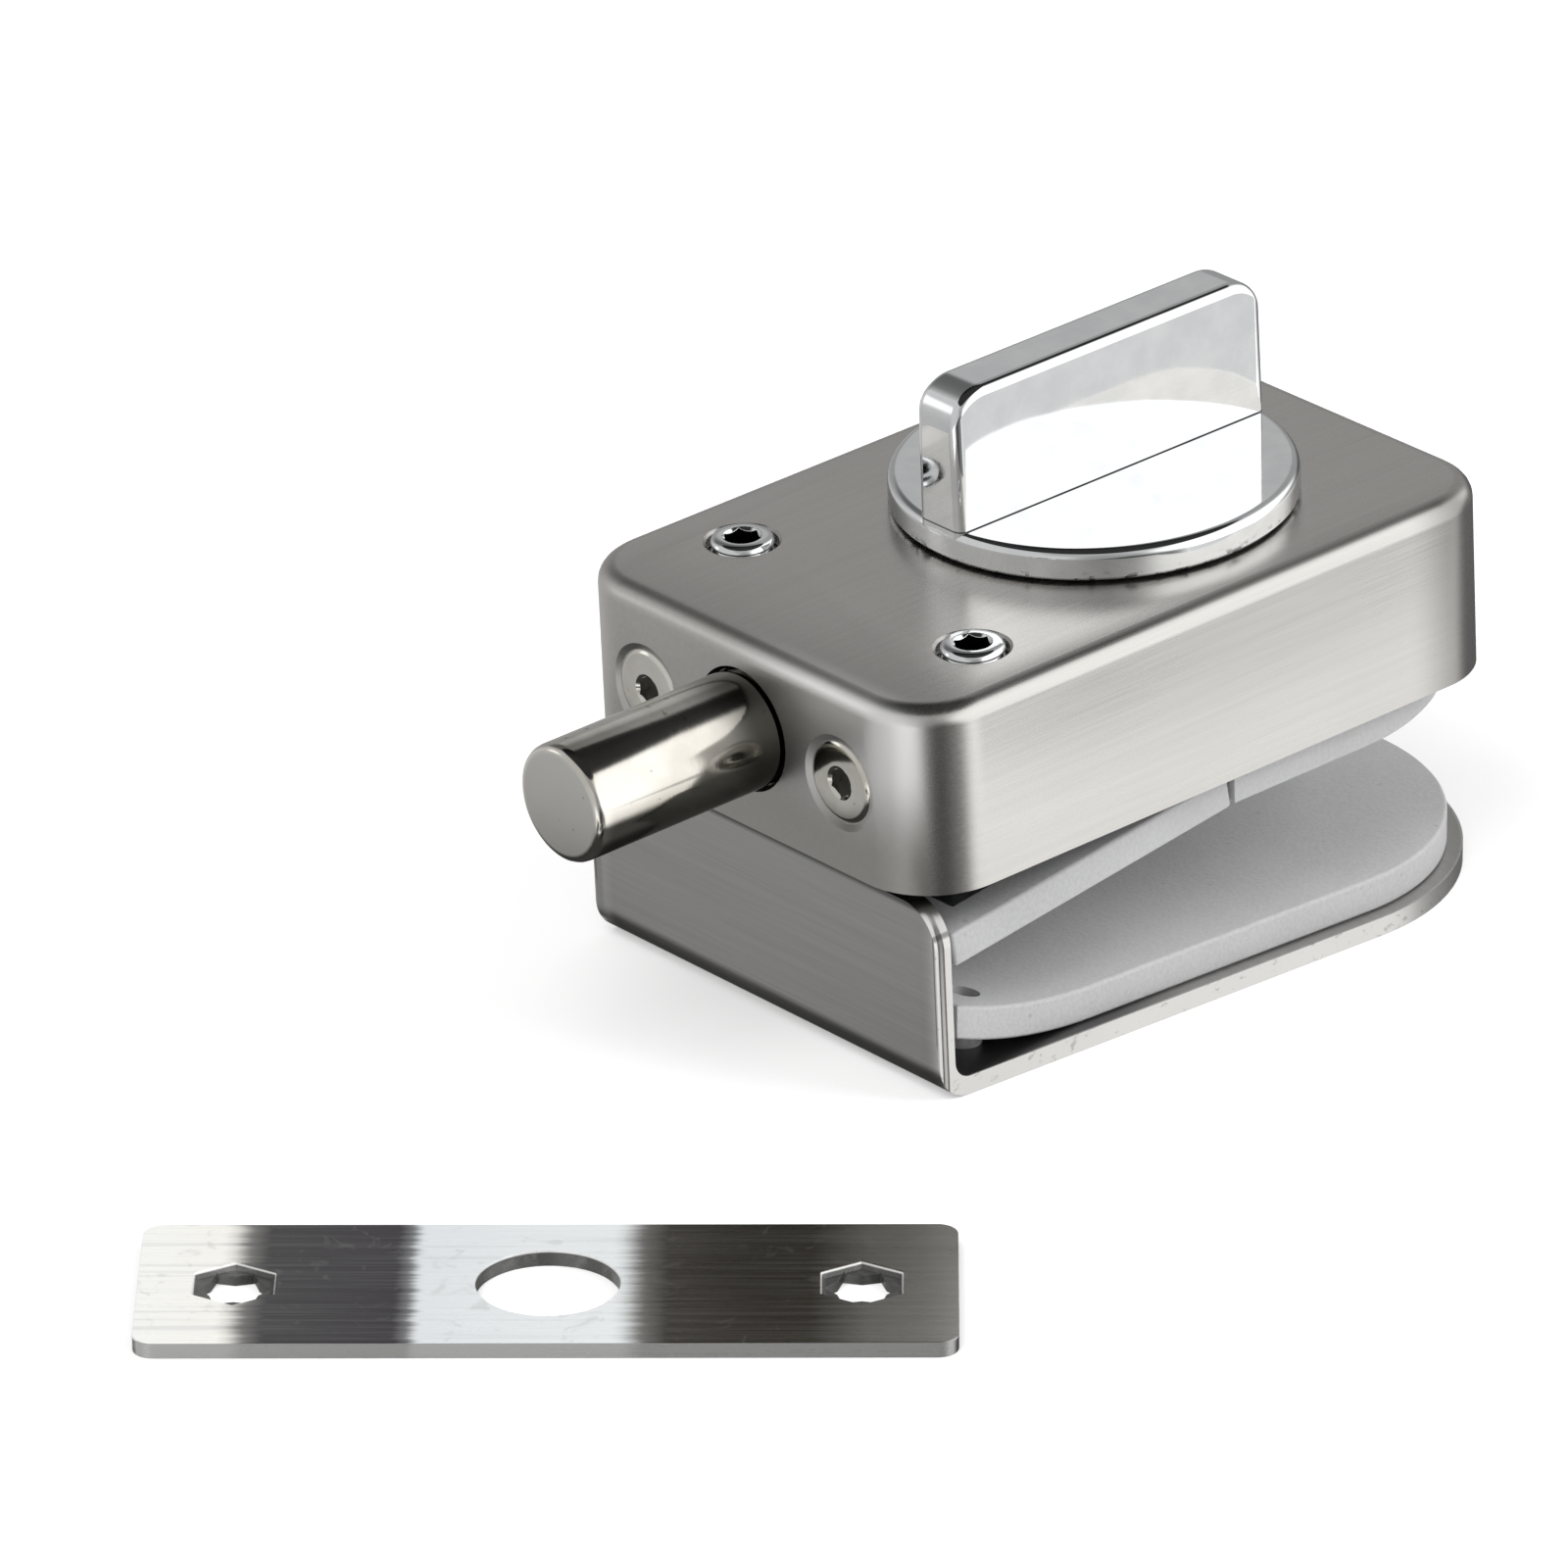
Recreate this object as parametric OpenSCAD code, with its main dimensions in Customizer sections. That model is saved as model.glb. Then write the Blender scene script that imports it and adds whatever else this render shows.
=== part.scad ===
// Clamp-on lock for a frameless glass door.
// A bent steel bracket grips the door's edge between soft pads, a pressed cover
// hides the bolt work, and a quarter turn of the knob draws the round bolt in.
// The origin is on the bracket's inner front face, which the glass edge meets,
// midway across: the bolt points along -Y, the knob stands up along +Z, and the
// glass enters from +Y.
// Millimetres. The pose drawn is the locked one, with the bolt thrown.

/* [Cover] */
// Width of the cover, across the bolt
case_w = 48; // [46:1:56]
// Length of the cover, along the bolt
case_l = 70; // [69:1:80]
// Height of the cover
case_h = 18; // [18:0.5:22]
// Sheet thickness of the cover
case_wall = 1.2; // [0.8:0.1:1.4]
// Radius of the cover's upright corners
case_corner_r = 7.5; // [5:0.5:9]
// Radius round the cover's top edge
case_edge_r = 1.8; // [1:0.1:2.4]

/* [Bolt] */
// Diameter of the bolt
bolt_d = 11; // [10:0.1:11.6]
// How far the thrown bolt stands out of the cover
bolt_out = 21; // [18:0.5:24]
// Depth of the bolt's axis below the cover's top
bolt_drop = 8.5; // [8.3:0.1:8.7]
// Length of full round bolt behind the cover's front face
bolt_inside = 14; // [13:0.5:14.5]
// Length of the bolt's milled tail
tail_l = 13; // [12.5:0.5:13.5]
// Height of the tail's flat over the bolt's axis
tail_flat = 0.8; // [0.4:0.1:1]
// Chamfer on the bolt's nose
bolt_chamfer = 0.6; // [0.3:0.1:1.2]
// Gap round the bolt where it leaves the cover
bolt_exit_gap = 0.35; // [0.2:0.05:0.6]
// Width of the relief groove behind the bolt's free end
relief_w = 0.8; // [0.6:0.1:1.2]
// Depth of the relief groove
relief_t = 0.25; // [0.2:0.05:0.3]
// How far the groove shows in front of the cover
relief_out = 0.3; // [0.2:0.05:0.4]

/* [Knob] */
// Distance from the cover's front face to the knob's axis
knob_y = 42; // [42:0.5:43]
// Diameter of the knob's disc
knob_d = 37; // [30:0.5:40]
// Thickness of the knob's disc
disc_t = 3; // [2.6:0.1:4]
// Rounding of the disc's upper rim
disc_edge_r = 0.7; // [0.3:0.1:1]
// Gap between the disc and the cover
disc_gap = 0.2; // [0.1:0.05:0.4]
// Thickness of the thumb tab at its foot
tab_t = 5.8; // [4.5:0.1:8]
// Height of the thumb tab over the disc
tab_h = 13.3; // [10:0.5:18]
// Taper of each face of the tab towards its top
tab_draft = 0.3; // [0:0.1:0.6]
// Radius of the tab's top corners
tab_corner_r = 3.5; // [2:0.5:5]

/* [Crank] */
// Distance from the knob's axis to the crank pin
crank_r = 14.5; // [14:0.1:14.6]
// Diameter of the crank pin
crank_pin_d = 5; // [4.6:0.1:5.4]
// Thickness of the crank
crank_t = 2.2; // [1.8:0.1:2.4]
// Radius of the crank's hub
crank_hub_r = 6.5; // [5.5:0.1:6.8]
// Width of the crank's arm
crank_arm_w = 8; // [7:0.5:8.5]
// Diameter of the knob's spindle
spindle_d = 9.9; // [9.4:0.1:10.2]
// Size across the spindle's square end
spindle_square = 4.4; // [4.2:0.1:4.6]
// How deep the spindle is pressed into the disc
spindle_seat = 2; // [1.5:0.1:2.2]
// Wall of the spindle's bush
bush_wall = 1.5; // [1.2:0.1:2]
// Thickness of the bush's flange
bush_flange_t = 0.7; // [0.5:0.05:0.8]

/* [Slide] */
// Thickness of the slide plate
slide_t = 2.4; // [2:0.1:2.6]
// Width of the slide's stem
stem_w = 10.4; // [9:0.2:12]
// Metal on either side of the crosshead's slot
head_rim = 2.75; // [2:0.25:3]
// Width of a rail over its step
rail_step = 1.8; // [1.4:0.1:2]
// Width of a rail's outer wall
rail_wall = 1.6; // [1.2:0.1:2]
// Gap between a rail and the cover's side
rail_gap = 1; // [0.6:0.1:1.6]

/* [Base plate] */
// Thickness of the base plate
base_t = 1.8; // [1.5:0.1:2]
// How far the base plate stands below the cover's rim
base_drop = 0.6; // [0.3:0.1:0.8]

/* [Bracket] */
// Sheet thickness of the bracket
bracket_t = 1.8; // [1.5:0.1:2]
// How far the bracket's sides lie inside the cover's sides
bracket_in = 0.5; // [0:0.1:1.5]
// Depth of the bracket's outer bend below the cover's rim
bracket_drop = 19.8; // [18.6:0.2:24]
// Length of the leg to its round end
leg_l = 76.2; // [73:0.2:84]
// Angle by which the leg opens away from the glass
leg_splay = 2.8; // [2.4:0.1:3.2]
// Inner radius of the bracket's bends
bend_r = 1.8; // [1.2:0.1:2.4]
// How far the tongue reaches into the round of the cover's corners
tongue_reach = 0.7; // [0.5:0.1:0.9]
// Height of the bracket's shoulders below the cover's rim
shoulder_drop = 0.9; // [0.5:0.1:1.5]
// Radius of the bracket's shoulders
shoulder_r = 4; // [2:0.5:5]
// How far the top flange reaches behind the cover's front face
flange_l = 20; // [18.5:0.5:21]

/* [Clamp screws] */
// Thread diameter of the clamp screws
clamp_d = 6; // [5:0.1:6.4]
// Distance of each clamp screw from the cover's side
clamp_in = 8.5; // [8.2:0.1:8.8]
// Distance of the clamp screws from the cover's front face
clamp_y = 13.8; // [13.7:0.1:14.5]
// How far the clamp screws stand over the cover in the photographed pose
clamp_proud = 0.5; // [0:0.1:1]
// Size across the flats of the clamp screws' sockets
clamp_socket = 3; // [2.5:0.1:3.5]
// Outer diameter of the threaded bushes
bush_d = 9; // [8.5:0.1:9.2]
// Length of the threaded bushes below the flange
bush_l = 6; // [4:0.5:8]

/* [Pads] */
// Thickness of the pads
pad_t = 3.3; // [2.6:0.1:3.6]
// How far the pads' edges lie inside the bracket's edge
pad_inset = 1.5; // [1:0.1:2.5]
// Distance from the cover's front face to the pads' front ends
pad_front = 4.6; // [4.4:0.1:6]
// Distance from the cover's front face to the pressure plate's pivot
pivot_y = 37.9; // [37.5:0.1:38.5]
// Angle of the front pad in the photographed pose
pad_tilt = 7; // [5:0.5:8]
// Gap between the front and the rear pad
pad_split = 0.4; // [0.3:0.1:0.8]
// Length of the lower pad's front end that curls up
curl_l = 16; // [14:1:18]
// Height by which the lower pad's front end is lifted
curl_rise = 3; // [2:0.2:3.2]
// Diameter of the pegs under the lower pad
peg_d = 3.4; // [2.5:0.1:4]
// Distance of each peg from the bracket's side
peg_in = 5.7; // [5.1:0.1:7.5]
// Distance from the cover's front face to the pegs
peg_y = 9; // [8.5:0.5:11]
// Thickness of the pressure plate
plate_t = 1.2; // [1:0.1:1.5]
// Width of the pressure plate beyond each clamp screw's axis
plate_rim = 2.9; // [2.7:0.1:3.5]

/* [Screws] */
// Thread diameter of the front screws
front_d = 4; // [3.5:0.1:4]
// Head diameter of the front screws
front_head_d = 7.8; // [7.4:0.1:8]
// Length of the front screws
front_l = 8; // [7:0.5:8.4]
// Distance of each front screw from the cover's side
front_in = 11; // [10.8:0.1:11.6]
// Height of the front screws over the cover's lower rim
front_z = 8.7; // [8.2:0.1:9.2]
// Thread diameter of the small screws inside
small_d = 3; // [2.5:0.1:3]
// Head diameter of the small screws
small_head_d = 5.4; // [5:0.1:5.5]
// Depth of their tapped holes beyond the screws' ends
tap_spare = 0.8; // [0.5:0.1:1.5]
// Length of the guide's screws
guide_screw_l = 4.2; // [3.8:0.1:5]
// Distance of each guide screw from the middle
guide_screw_x = 7; // [6.5:0.5:8]
// Distance from the cover's front face to the guide screws
guide_screw_y = 6; // [5.8:0.1:6.4]
// Thread diameter of the rails' screws
rail_screw_d = 2; // [1.6:0.2:2]
// Head diameter of the rails' screws
rail_screw_head_d = 4; // [3.6:0.2:4]
// Length of the rails' screws
rail_screw_l = 5; // [4:0.5:6]
// Length of the rear posts' screws
rear_screw_l = 6; // [5:0.5:8]
// Length of the slide's screws
slide_screw_l = 6; // [5:0.5:6]
// Length of the crank's screw
crank_screw_l = 5; // [4:0.5:5]

/* [Strike plate] */
// Length of the strike plate
strike_l = 70; // [64:1:80]
// Width of the strike plate
strike_w = 22.4; // [20:0.2:26]
// Thickness of the strike plate
strike_t = 1.5; // [1.2:0.1:2]
// Diameter of the hole for the bolt
strike_hole_d = 12.4; // [12.2:0.1:14]
// Distance between the two screw holes
strike_pitch = 53.5; // [48:0.5:56]
// Width of the pressed hexagon round each screw hole
dimple_w = 9.4; // [8:0.2:10]
// Depth of the pressed hexagon
dimple_t = 0.5; // [0.3:0.1:0.6]
// Width of the star-shaped screw hole
star_w = 5.2; // [4:0.2:6]
// Place of the strike plate beside the lock
strike_at = [29.7, -48.6];
// Turn of the strike plate about the upright
strike_turn = 48.9; // [0:0.1:90]

/* [Fits] */
// Radial play of a running fit
run_gap = 0.05; // [0.02:0.01:0.08]
// Gap between stationary pieces
fit_gap = 0.1; // [0.05:0.05:0.2]
// Gap between pieces that pass one another
pass_gap = 0.3; // [0.2:0.05:0.3]

/* [Hidden] */
$fn = 48;

bolt_r = bolt_d / 2;
bolt_z = case_h - bolt_drop;
inner_half_w = case_w / 2 - case_wall;
clamp_x = case_w / 2 - clamp_in;
front_x = case_w / 2 - front_in;
plate_half_w = clamp_x + plate_rim;
inner_r = case_corner_r - case_wall;
ceiling_z = case_h - case_wall;

// the crank pin swings an eighth of a turn either side of square
swing = 45;
pin_r = crank_pin_d / 2;
pin_x = crank_r * cos(swing);
pin_y = knob_y - crank_r * sin(swing);
// the most by which the pin runs ahead of an even slide
pin_lead = 0.03 * crank_r;
slot_half = pin_r + pin_lead + run_gap;

base_top = base_t - base_drop;
tail_z = bolt_z + tail_flat;
slide_top = tail_z + slide_t;
crank_z = slide_top + pass_gap;
crank_top = crank_z + crank_t;
bush_z = ceiling_z - bush_flange_t;
disc_z = case_h + disc_gap;

plate_y = case_wall + fit_gap;
plate_back = plate_y + bracket_t;
// depth of the origin below the cover's rim, about the middle of the glass
stop_drop = 10;
bend_out = bend_r + bracket_t;
flange_top = ceiling_z - fit_gap;
flange_z = flange_top - bracket_t;
top_bend_r = 1;
// the tongue is slit over the bolt, which stands higher than the flange
notch_half_w = bolt_r + 0.7;
leg_r = case_w / 2 - bracket_in;
peg_x = leg_r - peg_in;
tongue_half_w = inner_half_w - inner_r + tongue_reach;
leg_end = plate_y + leg_l - leg_r;

pad_r = leg_r - pad_inset;
pivot_z = -base_drop - pad_t;
plate_top_y = clamp_y - pivot_y;
screw_tip_r = 1.5;
screw_tip = pivot_z + plate_top_y * tan(pad_tilt) + pad_t / cos(pad_tilt)
    + screw_tip_r * (1 / cos(pad_tilt) - 1) + run_gap;
clamp_l = case_h + clamp_proud - screw_tip;

rail_x = inner_half_w - rail_gap - rail_wall;
head_half_w = rail_x - run_gap * 4;
rail_z = slide_top + 0.3;
rail_y0 = pin_y - slot_half - head_rim - 1.5;
rail_y1 = knob_y + (knob_y - pin_y) + slot_half + head_rim + 1.5;
post_r = 2.9;
post_x = 12;
post_y = case_l - case_wall - post_r - 2.2;

function csk_h(head_d, d) = (head_d - d) / 2;

module steel(tone = 0.75) color([tone, tone, tone - 0.02]) children();
module lock() translate([0, -plate_back, stop_drop]) children();

// a rounded rectangle with true round corners, centred on X and starting at Y 0
module round_rect(w, l, r) {
    translate([-w / 2 + r, 0]) square([w - 2 * r, l]);
    translate([-w / 2, r]) square([w, l - 2 * r]);
    for (x = [-w / 2 + r, w / 2 - r], y = [r, l - r]) translate([x, y]) circle(r);
}

// a plate whose front end is square and whose rear end is half a circle
module tongue_plan(half_w, y0, y_end) {
    translate([-half_w, y0]) square([2 * half_w, y_end - y0]);
    intersection() {
        translate([0, y_end]) circle(half_w, $fn = 96);
        translate([-half_w, y0]) square([2 * half_w, y_end - y0 + half_w]);
    }
}

// the space of a bent leg: its frame starts at the bend and drops by the splay
module on_leg() {
    translate([0, plate_y + bend_out, -bracket_drop + bend_out])
        rotate([-leg_splay, 0, 0])
            translate([0, -plate_y - bend_out, -bend_out])
                children();
}

// a countersunk screw pointing along +Z, its head's face at Z 0
module countersunk_screw(d, head_d, l, socket) {
    h = csk_h(head_d, d);
    difference() {
        union() {
            cylinder(r1 = head_d / 2, r2 = d / 2, h = h);
            cylinder(r = d / 2, h = l - 0.3);
            translate([0, 0, l - 0.3]) cylinder(r1 = d / 2, r2 = d / 2 - 0.3, h = 0.3);
        }
        translate([0, 0, -1]) cylinder(d = socket / cos(30), h = 1 + h * 0.8, $fn = 6);
    }
}

// the hole and seat that such a screw needs
module countersunk_seat(d, head_d, l) {
    h = csk_h(head_d, d);
    translate([0, 0, -0.01]) cylinder(r1 = head_d / 2 + 0.06, r2 = d / 2 + run_gap, h = h + 0.06);
    translate([0, 0, -0.01]) cylinder(r = d / 2 + run_gap, h = l);
}

// the tapped hole, drawn at the screw's size with a hair of play
module tapped_hole(d, l) cylinder(r = d / 2 + run_gap, h = l);

// a deep-drawn box: upright corners, and a smaller round all along the top edge
module cover_outside() {
    r = case_corner_r;
    e = case_edge_r;
    z = case_h - e;
    linear_extrude(z) round_rect(case_w, case_l, r);
    translate([0, e, 0]) linear_extrude(case_h) round_rect(case_w - 2 * e, case_l - 2 * e, r - e);
    for (x = [-1, 1], y = [r, case_l - r]) translate([x * (case_w / 2 - r), y, z])
        rotate_extrude($fn = 64) translate([r - e, 0]) circle(e, $fn = 32);
    for (x = [-1, 1]) translate([x * (case_w / 2 - e), r, z])
        rotate([-90, 0, 0]) cylinder(r = e, h = case_l - 2 * r, $fn = 32);
    for (y = [e, case_l - e]) translate([-case_w / 2 + r, y, z])
        rotate([0, 90, 0]) cylinder(r = e, h = case_w - 2 * r, $fn = 32);
}

module case_cover() steel(0.72) lock() {
    difference() {
        cover_outside();
        translate([0, case_wall, -1])
            linear_extrude(ceiling_z + 1)
                round_rect(2 * inner_half_w, case_l - 2 * case_wall, inner_r);
        translate([0, -1, bolt_z]) rotate([-90, 0, 0]) cylinder(r = bolt_r + bolt_exit_gap, h = 4);
        for (side = [-1, 1]) {
            translate([side * front_x, 0, front_z]) rotate([-90, 0, 0])
                countersunk_seat(front_d, front_head_d, case_wall + 1);
            translate([side * clamp_x, clamp_y, ceiling_z - 1])
                cylinder(r = clamp_d / 2 + 0.3, h = case_wall + 2);
        }
        translate([0, knob_y, ceiling_z - 1])
            cylinder(r = spindle_d / 2 + run_gap + bush_wall + run_gap, h = case_wall + 2);
    }
}

// part of a ring, seen from the side: a bend in a strip
module bend(r, from, to) {
    far = 2 * (r + bracket_t);
    mid = (from + to) / 2;
    intersection() {
        difference() {
            circle(r + bracket_t, $fn = 72);
            circle(r, $fn = 72);
        }
        polygon([[0, 0], far * [cos(from), sin(from)], far * [cos(mid), sin(mid)], far * [cos(to), sin(to)]]);
    }
}

// side view of the leg, its bend and the front plate, as far up as the shoulders
module lower_strip() {
    translate([plate_y, -bracket_drop + bend_out])
        square([bracket_t, bracket_drop - bend_out - shoulder_drop]);
    translate([plate_y + bend_out, -bracket_drop + bend_out]) {
        bend(bend_r, 180, 270 - leg_splay);
        rotate(-leg_splay) translate([0, -bend_out]) square([leg_l, bracket_t]);
    }
}

// side view of the tongue and its top flange
module upper_strip() {
    neck_top = flange_top - top_bend_r - bracket_t;
    translate([plate_y, -shoulder_drop - 1]) square([bracket_t, neck_top + shoulder_drop + 1]);
    translate([plate_back + top_bend_r, neck_top]) bend(top_bend_r, 90, 180);
    translate([plate_back + top_bend_r, flange_z]) square([flange_l - plate_back - top_bend_r, bracket_t]);
}

// draws a side view, from Y and Z, across the whole of a width
module across(w) rotate([90, 0, 90]) translate([0, 0, -w / 2]) linear_extrude(w) children();

// one sheet: the leg, the front plate, the slit tongue and the flange over the bushes
module clamp_bracket() steel(0.66) lock() {
    difference() {
        union() {
            intersection() {
                across(2 * leg_r) lower_strip();
                on_leg() translate([0, 0, -5]) linear_extrude(60) tongue_plan(leg_r, -10, leg_end);
                translate([0, case_l + 20, 0]) rotate([90, 0, 0]) linear_extrude(case_l + 30) {
                    translate([-leg_r - 1, -bracket_drop - 20])
                        square([2 * leg_r + 2, bracket_drop + 20 - shoulder_drop - shoulder_r]);
                    translate([-leg_r + shoulder_r, -shoulder_drop - shoulder_r - 1])
                        square([2 * (leg_r - shoulder_r), shoulder_r + 1]);
                    for (x = [-leg_r + shoulder_r, leg_r - shoulder_r])
                        translate([x, -shoulder_drop - shoulder_r]) circle(shoulder_r);
                }
            }
            across(2 * tongue_half_w) upper_strip();
            translate([0, plate_back + top_bend_r + 1, flange_z]) linear_extrude(bracket_t)
                round_rect(2 * (clamp_x + bush_d / 2 + 0.4), flange_l - plate_back - top_bend_r - 1, 2.5);
        }
        translate([0, flange_l + 2, bolt_z]) rotate([90, 0, 0]) linear_extrude(flange_l + 2) {
            circle(notch_half_w);
            translate([-notch_half_w, 0]) square([2 * notch_half_w, case_h]);
        }
        for (side = [-1, 1]) {
            translate([side * front_x, 0, front_z]) rotate([-90, 0, 0])
                countersunk_seat(front_d, front_head_d, 6);
            translate([side * clamp_x, clamp_y, flange_z - 1])
                cylinder(r = clamp_d / 2 + 1 + run_gap, h = bracket_t + 2);
            on_leg() translate([side * peg_x, peg_y, -1]) cylinder(r = peg_d / 2, h = bracket_t + 2);
        }
    }
}

module base_plate() steel(0.6) lock() {
    corner = inner_r + 0.2;
    difference() {
        translate([0, plate_back + fit_gap, -base_drop])
            linear_extrude(base_t)
                round_rect(2 * (inner_half_w - fit_gap), case_l - case_wall - fit_gap * 2 - plate_back, corner);
        for (side = [-1, 1]) {
            translate([side * clamp_x, clamp_y, -base_drop - 1])
                cylinder(r = clamp_d / 2 + 0.5, h = base_t + 2);
            translate([side * guide_screw_x, guide_screw_y, -base_drop])
                countersunk_seat(small_d, small_head_d, base_t + 1);
            translate([side * post_x, post_y, -base_drop])
                countersunk_seat(small_d, small_head_d, base_t + 1);
            for (y = rail_screw_y) translate([side * rail_screw_x, y, -base_drop])
                countersunk_seat(rail_screw_d, rail_screw_head_d, base_t + 1);
            translate([side * hook_x - hook_neck / 2 - 0.4, hook_slot_y0, -base_drop - 1])
                cube([hook_neck + 0.8, hook_slot_y1 - hook_slot_y0, base_t + 2]);
        }
    }
}

guide_l = 9;
guide_barrel_l = 12;
module bolt_guide() color([0.78, 0.68, 0.42]) lock() {
    y0 = plate_back + fit_gap / 2;
    difference() {
        translate([0, y0, base_top]) union() {
            translate([-front_x - 4.2, 0, 0]) cube([2 * front_x + 8.4, guide_l - y0, flange_z - base_top]);
            translate([-bolt_r - 2.6, 0, 0]) cube([bolt_d + 5.2, guide_barrel_l - y0, flange_z - base_top]);
            translate([-notch_half_w + fit_gap, 0, 0])
                cube([2 * (notch_half_w - fit_gap), guide_barrel_l - y0, flange_top - base_top]);
        }
        translate([0, 0, bolt_z]) rotate([-90, 0, 0]) cylinder(r = bolt_r + run_gap, h = 20);
        // the front edge is broken to clear the inner round of the bracket's upper bend
        across(case_w) polygon([
            [plate_back - 1, flange_z - top_bend_r - 1], [plate_back - 1, case_h],
            [plate_back + case_h - flange_z + top_bend_r, case_h]
        ]);
        for (side = [-1, 1]) {
            translate([side * front_x, 0, front_z]) rotate([-90, 0, 0]) tapped_hole(front_d, 20);
            translate([side * guide_screw_x, guide_screw_y, base_top - 1])
                tapped_hole(small_d, guide_screw_l - base_t + tap_spare + 1);
        }
    }
}

module front_screws() color([0.82, 0.8, 0.74]) lock()
    for (side = [-1, 1]) translate([side * front_x, 0, front_z]) rotate([-90, 0, 0])
        countersunk_screw(front_d, front_head_d, front_l, 2.5);

module guide_screws() steel(0.55) lock()
    for (side = [-1, 1]) translate([side * guide_screw_x, guide_screw_y, -base_drop])
        countersunk_screw(small_d, small_head_d, guide_screw_l, 2);

module clamp_bushes() steel(0.5) lock()
    for (side = [-1, 1]) translate([side * clamp_x, clamp_y, 0]) difference() {
        union() {
            translate([0, 0, flange_z - bush_l]) cylinder(r = bush_d / 2, h = bush_l);
            translate([0, 0, flange_z - 0.01]) cylinder(r = clamp_d / 2 + 1, h = bracket_t + 0.01);
        }
        cylinder(r = clamp_d / 2 + run_gap, h = case_h);
    }

// each rail has a low step that carries the crosshead and a wall that guides it
rail_screw_x = rail_x + (rail_wall - rail_step) / 2;
rail_screw_y = [rail_y0 + 4, rail_y1 - 4];
module slide_rails() color([0.9, 0.9, 0.88]) lock()
    for (side = [-1, 1]) mirror([side < 0 ? 1 : 0, 0, 0]) difference() {
        union() {
            translate([rail_x - rail_step, rail_y0, base_top])
                cube([rail_step + rail_wall, rail_y1 - rail_y0, tail_z - run_gap - base_top]);
            translate([rail_x, rail_y0, base_top])
                cube([rail_wall, rail_y1 - rail_y0, rail_z - base_top]);
        }
        for (y = rail_screw_y) translate([rail_screw_x, y, base_top - 1])
            tapped_hole(rail_screw_d, rail_screw_l - base_t + tap_spare + 1);
    }

module rail_screws() steel(0.55) lock()
    for (side = [-1, 1], y = rail_screw_y) translate([side * rail_screw_x, y, -base_drop])
        countersunk_screw(rail_screw_d, rail_screw_head_d, rail_screw_l, 1.5);

module rear_posts() steel(0.6) lock()
    for (side = [-1, 1]) translate([side * post_x, post_y, base_top]) difference() {
        cylinder(r = post_r, h = ceiling_z - base_top);
        translate([0, 0, -1]) tapped_hole(small_d, rear_screw_l - base_t + tap_spare + 1);
    }

module rear_screws() steel(0.55) lock()
    for (side = [-1, 1]) translate([side * post_x, post_y, -base_drop])
        countersunk_screw(small_d, small_head_d, rear_screw_l, 2);

module spindle_bush() color([0.8, 0.66, 0.35]) lock() translate([0, knob_y, bush_z]) difference() {
    union() {
        cylinder(r = spindle_d / 2 + run_gap + bush_wall + 1.5, h = bush_flange_t);
        cylinder(r = spindle_d / 2 + run_gap + bush_wall, h = case_h - bush_z);
    }
    translate([0, 0, -1]) cylinder(r = spindle_d / 2 + run_gap, h = case_h - bush_z + 2);
}

// a ring of thin spring steel with three waves, gripped over the crank
wave_r0 = spindle_d / 2 + 0.3;
wave_r1 = wave_r0 + 1.5;
wave_t = 0.25;
wave_low = crank_top + run_gap;
wave_rise = bush_z - run_gap - wave_low - wave_t;
wave_n = 60;
module wave_washer() steel(0.55) lock() translate([0, knob_y, wave_low]) {
    ring = [for (i = [0:wave_n - 1]) let (
        a = 360 * i / wave_n,
        z = wave_rise * (1 + cos(3 * a)) / 2,
        u = [cos(a), sin(a)]
    ) each [
        [wave_r0 * u[0], wave_r0 * u[1], z], [wave_r1 * u[0], wave_r1 * u[1], z],
        [wave_r1 * u[0], wave_r1 * u[1], z + wave_t], [wave_r0 * u[0], wave_r0 * u[1], z + wave_t]
    ]];
    faces = [for (i = [0:wave_n - 1], k = [0:3]) let (
        p = 4 * i, q = 4 * ((i + 1) % wave_n), m = (k + 1) % 4
    ) each [[p + k, p + m, q + m], [p + k, q + m, q + k]]];
    polyhedron(ring, faces);
}

// side view of the lower pad: flat on the leg, its front end curling up off it
module lower_pad_side() {
    y1 = pad_front + curl_l;
    r = (curl_l * curl_l + curl_rise * curl_rise) / (2 * curl_rise);
    a = asin(curl_l / r);
    arc = [for (i = [0:8]) let (t = a * i / 8) [y1 - r * sin(t), r * (1 - cos(t))]];
    polygon([
        [leg_end + pad_r + 1, 0], each arc,
        each [for (i = [8:-1:0]) [arc[i][0] + pad_t * sin(a * i / 8) * 0.5, arc[i][1] + pad_t]],
        [leg_end + pad_r + 1, pad_t]
    ]);
}

module lower_pad() color([0.66, 0.67, 0.69]) lock() on_leg()
    translate([0, 0, bracket_t]) difference() {
        intersection() {
            rotate([90, 0, 90]) translate([0, 0, -pad_r]) linear_extrude(2 * pad_r) lower_pad_side();
            translate([0, 0, -1]) linear_extrude(curl_rise + pad_t + 2)
                tongue_plan(pad_r, pad_front, leg_end);
        }
        for (side = [-1, 1]) translate([side * peg_x, peg_y, -1])
            cylinder(r = peg_tip_r + fit_gap, h = curl_rise + pad_t + 2);
    }

// each peg is riveted in the leg, and its thin tip holds the pad's front end
peg_tip_r = peg_d / 2 - 0.5;
peg_shoulder = 1.1;
module pad_pegs() color([0.6, 0.61, 0.63]) lock() on_leg()
    for (side = [-1, 1]) translate([side * peg_x, peg_y, 0]) {
        cylinder(r = peg_d / 2 - 0.02, h = bracket_t + peg_shoulder);
        cylinder(r = peg_tip_r, h = bracket_t + curl_rise + 0.8);
    }

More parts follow.
